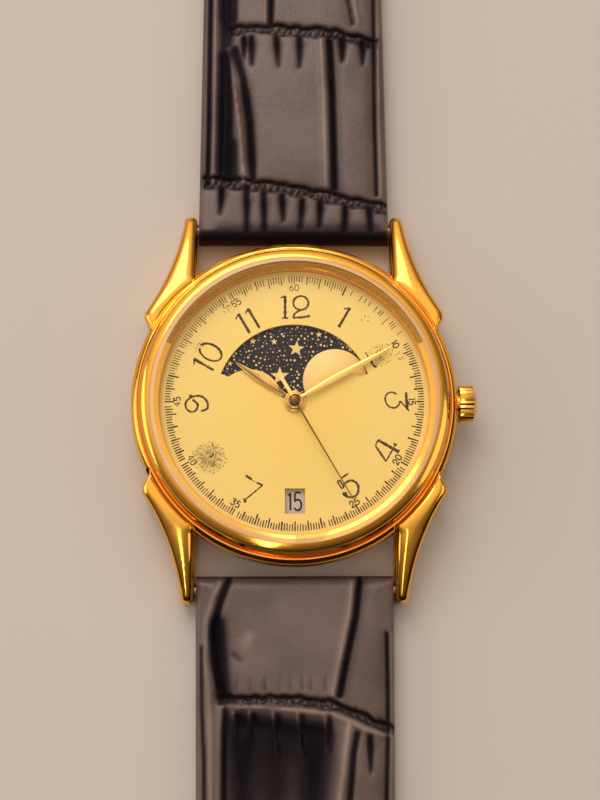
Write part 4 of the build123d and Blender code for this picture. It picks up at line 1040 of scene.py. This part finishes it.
upperLines += dentRow([(-7.5, 23, 20.3), (-4.88, 23.1, 17.6), (-3.1, 22.5, 18.3), (-1.2, 22.2, 19.6),
                       (0.9, 21.7, 18.8), (2.8, 21.6, 19), (5.4, 21, 18), (7.9, 20.9, 18.2)], rng)
upperLines += creaseBand([(-6.6, 40.7), (-3.3, 40.7), (-0.3, 40.5), (3.9, 40.3), (7.1, 39.6), (9, 39.2)], rng, 0.9)
upperLines += creaseBand([(-9.3, 23.8), (-5.4, 23.4), (-0.9, 23), (1.9, 22.5), (5.3, 21.6), (9.6, 20.9)], rng)
upperLines += rowsOfScales(54, 92, 1, rng)

# Lower strap: its folds, painted shade over the deep scale under the crease and in the hollow by the left fold, thin
# ribs in it and an old blister
lowerLines = [
    ("ridge", [(-7.18, -17.3), (-8.04, -19.4), (-8.75, -21.8), (-8.85, -25.5), (-8.5, -28.4), (-8.3, -32.6),
               (-8.08, -46)], 0.24, 0.3),
    ("groove", [(-6.49, -17.3), (-7.42, -19.9), (-8.14, -22.8), (-7.95, -25.5), (-7.3, -28.4)], 0.42, 0.32),
    ("hollow", [(-7.6, -22), (-7.2, -28.8)], 0.3, 0.8),
    ("groove", [(-9.23, -24.3), (-9.15, -30.3), (-8.9, -35), (-8.75, -46)], 0.26, 0.2),
    ("ridge", [(-7.24, -30), (-7.39, -32.65), (-7.5, -46)], 0.12, 0.28),
    ("groove", [(-6.85, -30.4), (-6.95, -34), (-7, -46)], 0.34, 0.3),
    ("ridge", [(-6.4, -29.95), (-3, -30), (0.44, -30.4), (3.4, -30.7), (5.56, -31.5), (7.25, -32.4),
               (9.8, -32.9)], 0.26, 0.34),
    ("hollow", [(-5.6, -31.6), (-1, -32), (2.6, -32.4)], 0.42, 1.1),
    ("hollow", [(-5, -33), (-4.6, -46)], 0.2, 2.2), ("hollow", [(1.6, -34), (1.2, -46)], 0.2, 2.4),
    ("shade", [(-5.3, -33.2), (-5.2, -52)], 0.55, 1.6, 0.05),
    ("shade", [(-2, -33.4), (-2, -52)], 0.55, 1.9, 0.05),
    ("shade", [(1.9, -33.8), (1.2, -52)], 0.55, 1.7, 0.05), ("shade", [(-7.6, -22), (-6.9, -28.6)], 0.35, 0.7),
    ("ridge", [(5.31, -31.6), (4.92, -33.9), (4.66, -36.2), (4.27, -38.6), (3.9, -46)], 0.3, 0.34),
    ("groove", [(6.05, -32.6), (5.64, -34.6), (5.5, -36.5), (5.15, -40), (4.8, -46)], 0.4, 0.28),
    ("hollow", [(-4.45, -23.6), (-4.6, -23.9)], -0.14, 0.7), ("groove", [(-6, -25), (-5.5, -25.5)], 0.16, 0.3),
]
lowerLines += fold([(6.46, -17.2), (6.04, -21.1), (5.05, -25.5), (4.35, -28.9)], -1, 0.42, 0.28, 0.7, 0.24)
lowerLines += fold([(9.1, -23), (9.14, -28.4), (9.08, -32.7), (8.86, -38.6), (8.8, -46)], 1, 0.3, 0.22, 0.45, 0.1)
for x, end in ((-6.08, -32.9), (-4.5, -33.2), (-2.2, -34.6), (0.2, -34.7), (2.85, -34.3)):
    lowerLines.append(("ridge", [(x, -30.6), (x + rng.uniform(-0.1, 0.5), end)], 0.3, 0.17, 0.6))
    lowerLines.append(("groove", [(x + 0.5, -30.9), (x + 0.6, end)], 0.22, 0.26, 0.4))
for x in (-7.3, -5.78, -4.44, -2.97, -1.6, -0.5, 0.7, 1.56, 2.9):
    lowerLines.append(("groove", [(x, -28.4), (x + rng.uniform(-0.1, 0.1), -27)], 0.13, 0.13, 0.5))
lowerLines += dentRow([(7.3, -32.9, -36.2)], rng)
lowerLines += creaseBand([(-7.4, -29.3), (-2.5, -29.4), (0.45, -29.5), (3.4, -29.8), (5.33, -30.5), (7.75, -31.6),
                          (9.7, -32.4)], rng, 0.75)
lowerLines += rowsOfScales(47.5, 127, -1, rng)


def upperHalf(y):
    return halfWidth(y, strapLook["upperTaper"])


bar, buckleBar = strapLook["barReach"], strapLook["buckleReach"]
loopStations = [buckleBar + strapLook["buckleLoop"] * math.sin(math.radians(a)) for a in (0, 20, 40, 58, 74, 86)]
upper = strapShell(
    "strapUpper", stationsTo(buckleBar) + loopStations, 1, upperHalf,
    lambda y: nose(y, 1) if y < bar else buckleEnd(y, 1) if y > buckleBar else between(
        y, strapLook["top"] + strapLook["upperTop"]),
    lambda y: buckleEnd(y, -1) if y > buckleBar else between(y, strapLook["split"]), upperLines)
bored(upper, 1)
bored(upper, 1, "buckle")
bpy.ops.mesh.primitive_cube_add(size=1, location=(0, strapLook["slotReach"] * mm, strapLook["buckleHeight"] * mm),
                                scale=[size * mm for size in strapLook["slot"]])
cutAway(upper, bpy.context.object)
finish(upper, "strapUpper", "buckle_strap", strapLeather, strapLook["smoothAngle"])
upper.data.materials.append(liningLeather)
for face in upper.data.polygons:
    if face.center.y < strapLook["liningShows"] * mm:
        face.material_index = 1
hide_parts("strap_12_leather")

lining = strapShell(
    "strapLining", noseStations + list(np.arange(bar, strapLook["liningEnd"], strapLook["liningStep"])), 1, upperHalf,
    lambda y: between(y, strapLook["split"][:4] + [strapLook["liningTop"]]),
    lambda y: nose(y, -1) if y < bar else between(y, strapLook["liningUnder"]), [])
bored(lining, 1)
finish(lining, "strapLining", "buckle_strap", liningLeather, strapLook["liningSmooth"])
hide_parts("strap_12_lining")


def lowerHalf(y):
    if y <= strapLook["tipStart"]:
        return halfWidth(y, strapLook["lowerTaper"])
    bend, flatten = strapLook["tipCurve"]
    share = min(1.0, (y - strapLook["tipStart"]) / strapLook["tipLength"])
    return max(strapLook["tipLeast"], strapLook["farHalf"] * (1 - share ** bend) ** flatten)


tipStations = [strapLook["tipStart"] + strapLook["tipLength"] * math.sin(math.radians(a)) for a in range(0, 90, 3)]
lower = strapShell(
    "strapLower", stationsTo(strapLook["tipStart"]) + tipStations, -1, lowerHalf,
    lambda y: nose(y, 1) if y < bar else between(y, strapLook["top"] + strapLook["lowerTop"]),
    lambda y: nose(y, -1) if y < bar else between(y, strapLook["lowerUnder"]), lowerLines)
bored(lower, -1)
for number in range(strapLook["holes"]):
    reach = strapLook["firstHole"] - strapLook["holePitch"] * number
    cutAway(lower, cylinder(strapLook["holeSides"], strapLook["holeRadius"], strapLook["holeDepth"],
                            (0, -reach, strapLook["holeMiddle"])))
finish(lower, "strapLower", "pointed_strap", strapLeather, strapLook["smoothAngle"])
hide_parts("strap_6")
print("straps pressed")

# Keepers: folded leather loops with a creased line near each edge and burnished rims
keeperLook = {
    "thick": 0.85, "corner": 0.8, "cornerStep": 15, "step": 0.6, "outerSteps": 21, "innerSteps": 9, "bow": 0.04,
    "creaseShare": 0.72, "creaseWidth": 0.05, "crease": 0.09, "edge": 0.22, "outerEdge": 0.1, "innerEdge": 0.12,
    "innerRound": 0.12, "darkening": 9, "smoothAngle": 50,
}
look, corner = keeperLook, keeperLook["corner"]
for name, node, body in (("keeperFixed", "fixed_keeper", "buckle_strap"),
                         ("keeperFree", "free_keeper", "sliding_keeper")):
    low, high = (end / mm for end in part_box(node))
    wide, tall = (high.x - low.x) / 2, high.z - low.z
    middle, half = (low.y + high.y) / 2, (high.y - low.y) / 2
    path = []
    for cx, cz, start in ((wide - corner, tall - corner, 0), (corner - wide, tall - corner, 90),
                          (corner - wide, corner, 180), (wide - corner, corner, 270)):
        for a in range(start, start + 91, look["cornerStep"]):
            path.append((cx, cz, math.cos(math.radians(a)), math.sin(math.radians(a))))
    around = []
    for a, b in zip(path, path[1:] + path[:1]):
        length = math.hypot(b[0] - a[0] + corner * (b[2] - a[2]), b[1] - a[1] + corner * (b[3] - a[3]))
        count = max(1, int(length / look["step"]))
        around += [[p + (q - p) * i / count for p, q in zip(a, b)] for i in range(count)]
    section = []
    for s in np.linspace(-1, 1, look["outerSteps"]):
        edge = max(0.0, abs(s) - (1 - look["outerEdge"])) / look["outerEdge"]
        crease = look["crease"] * math.exp(-((abs(s) - look["creaseShare"]) / look["creaseWidth"]) ** 2)
        section.append((s * half, corner - look["bow"] * s * s - look["edge"] * edge * edge - crease,
                        min(1.0, crease * look["darkening"] + edge)))
    for s in np.linspace(1, -1, look["innerSteps"]):
        edge = max(0.0, abs(s) - (1 - look["innerEdge"])) / look["innerEdge"]
        section.append((s * half, corner - look["thick"] + look["innerRound"] * edge, edge))
    section.append(section[0])
    rows = [[(cx + nx * reach, middle + along, cz + nz * reach) for along, reach, _ in section]
            for cx, cz, nx, nz in around + around[:1]]
    piece = gridFrom(name, rows, [[value for _, _, value in section]] * len(rows))
    finish(piece, name, body, keeperLeather, look["smoothAngle"])
    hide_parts(node)
print("keepers folded")

# Floor, light and camera: a pale floor in a tent that is bright overhead and dims to warm grey at the horizon
stageLook = {
    "floor": "#cfc3b8", "floorSize": 20.0, "floorDrop": 0.02, "strength": 1.08, "aim": (-0.15, 0.53, 0.835),
    "sky": [(0.0, "#241b15"), (0.6, "#948676"), (0.9, "#fff4e8")],
}
# name: place in metres, width and height in metres, watts
lampLook = {
    "keyLamp": ((-0.10, 0.32, 0.42), (0.35, 0.35), 0.95),
    "sideLamp": ((-0.42, 0.02, 0.16), (0.32, 0.32), 0.42),
    "fillLamp": ((0.36, -0.04, 0.26), (0.24, 0.24), 0.16),
    "frontStrip": ((-0.05, -0.22, 0.38), (0.04, 0.3), 0.14),
}
cameraLook = {
    "target": (0, 0, 7.0), "distance": 145.84, "pitch": 10.61, "yaw": 1.02, "roll": -0.21,
    "lens": {"sensor_fit": "HORIZONTAL", "sensor_width": 36, "lens": 88.2, "shift_x": 0.0085, "shift_y": -0.0022,
             "clip_start": 0.005},
}

bpy.ops.mesh.primitive_plane_add(size=stageLook["floorSize"], location=(0, 0, -stageLook["floorDrop"] * mm))
floor = bpy.context.object
floor.name = "floor"
floor.data.materials.append(newMaterial("paleFloor", stageLook["floor"], 0.0, 0.8))

world = bpy.data.worlds.new("softRoom")
bpy.context.scene.world = world
world.use_nodes = True
background = world.node_tree.nodes["Background"].inputs
background["Strength"].default_value = stageLook["strength"]
aim = addNode(world, "TexCoord", output="Generated")
share = addNode(world, "VectorMath", {0: aim, 1: stageLook["aim"]}, output="Value", operation="DOT_PRODUCT")
addNode(world, "ValToRGB", {"Fac": share}, stops=stageLook["sky"], feeds=background["Color"])

for name, (place, size, watts) in lampLook.items():
    bpy.ops.object.light_add(type="AREA", location=place)
    lamp = bpy.context.object
    lamp.name = name
    lamp.data.shape = "ELLIPSE"
    lamp.data.size, lamp.data.size_y = size
    lamp.data.energy = watts
    lamp.rotation_euler = (-Vector(place)).to_track_quat("-Z", "Y").to_euler()

pitch, yaw, roll = (math.radians(cameraLook[k]) for k in ("pitch", "yaw", "roll"))
back = Vector((-math.sin(yaw) * math.cos(pitch), -math.sin(pitch), math.cos(yaw) * math.cos(pitch)))
side = Vector((0, 1, 0)).cross(back).normalized()
upward = back.cross(side)
right = math.cos(roll) * side + math.sin(roll) * upward
top = math.cos(roll) * upward - math.sin(roll) * side
eye = (Vector(cameraLook["target"]) + back * cameraLook["distance"]) * mm
bpy.ops.object.camera_add()
camera = bpy.context.object
camera.name = "photoCamera"
camera.matrix_world = Matrix.Translation(eye) @ Matrix((right, top, back)).transposed().to_4x4()
for setting, value in cameraLook["lens"].items():
    setattr(camera.data, setting, value)
bpy.context.scene.camera = camera
bpy.context.scene.view_settings.view_transform = "Standard"
print("stage ready")
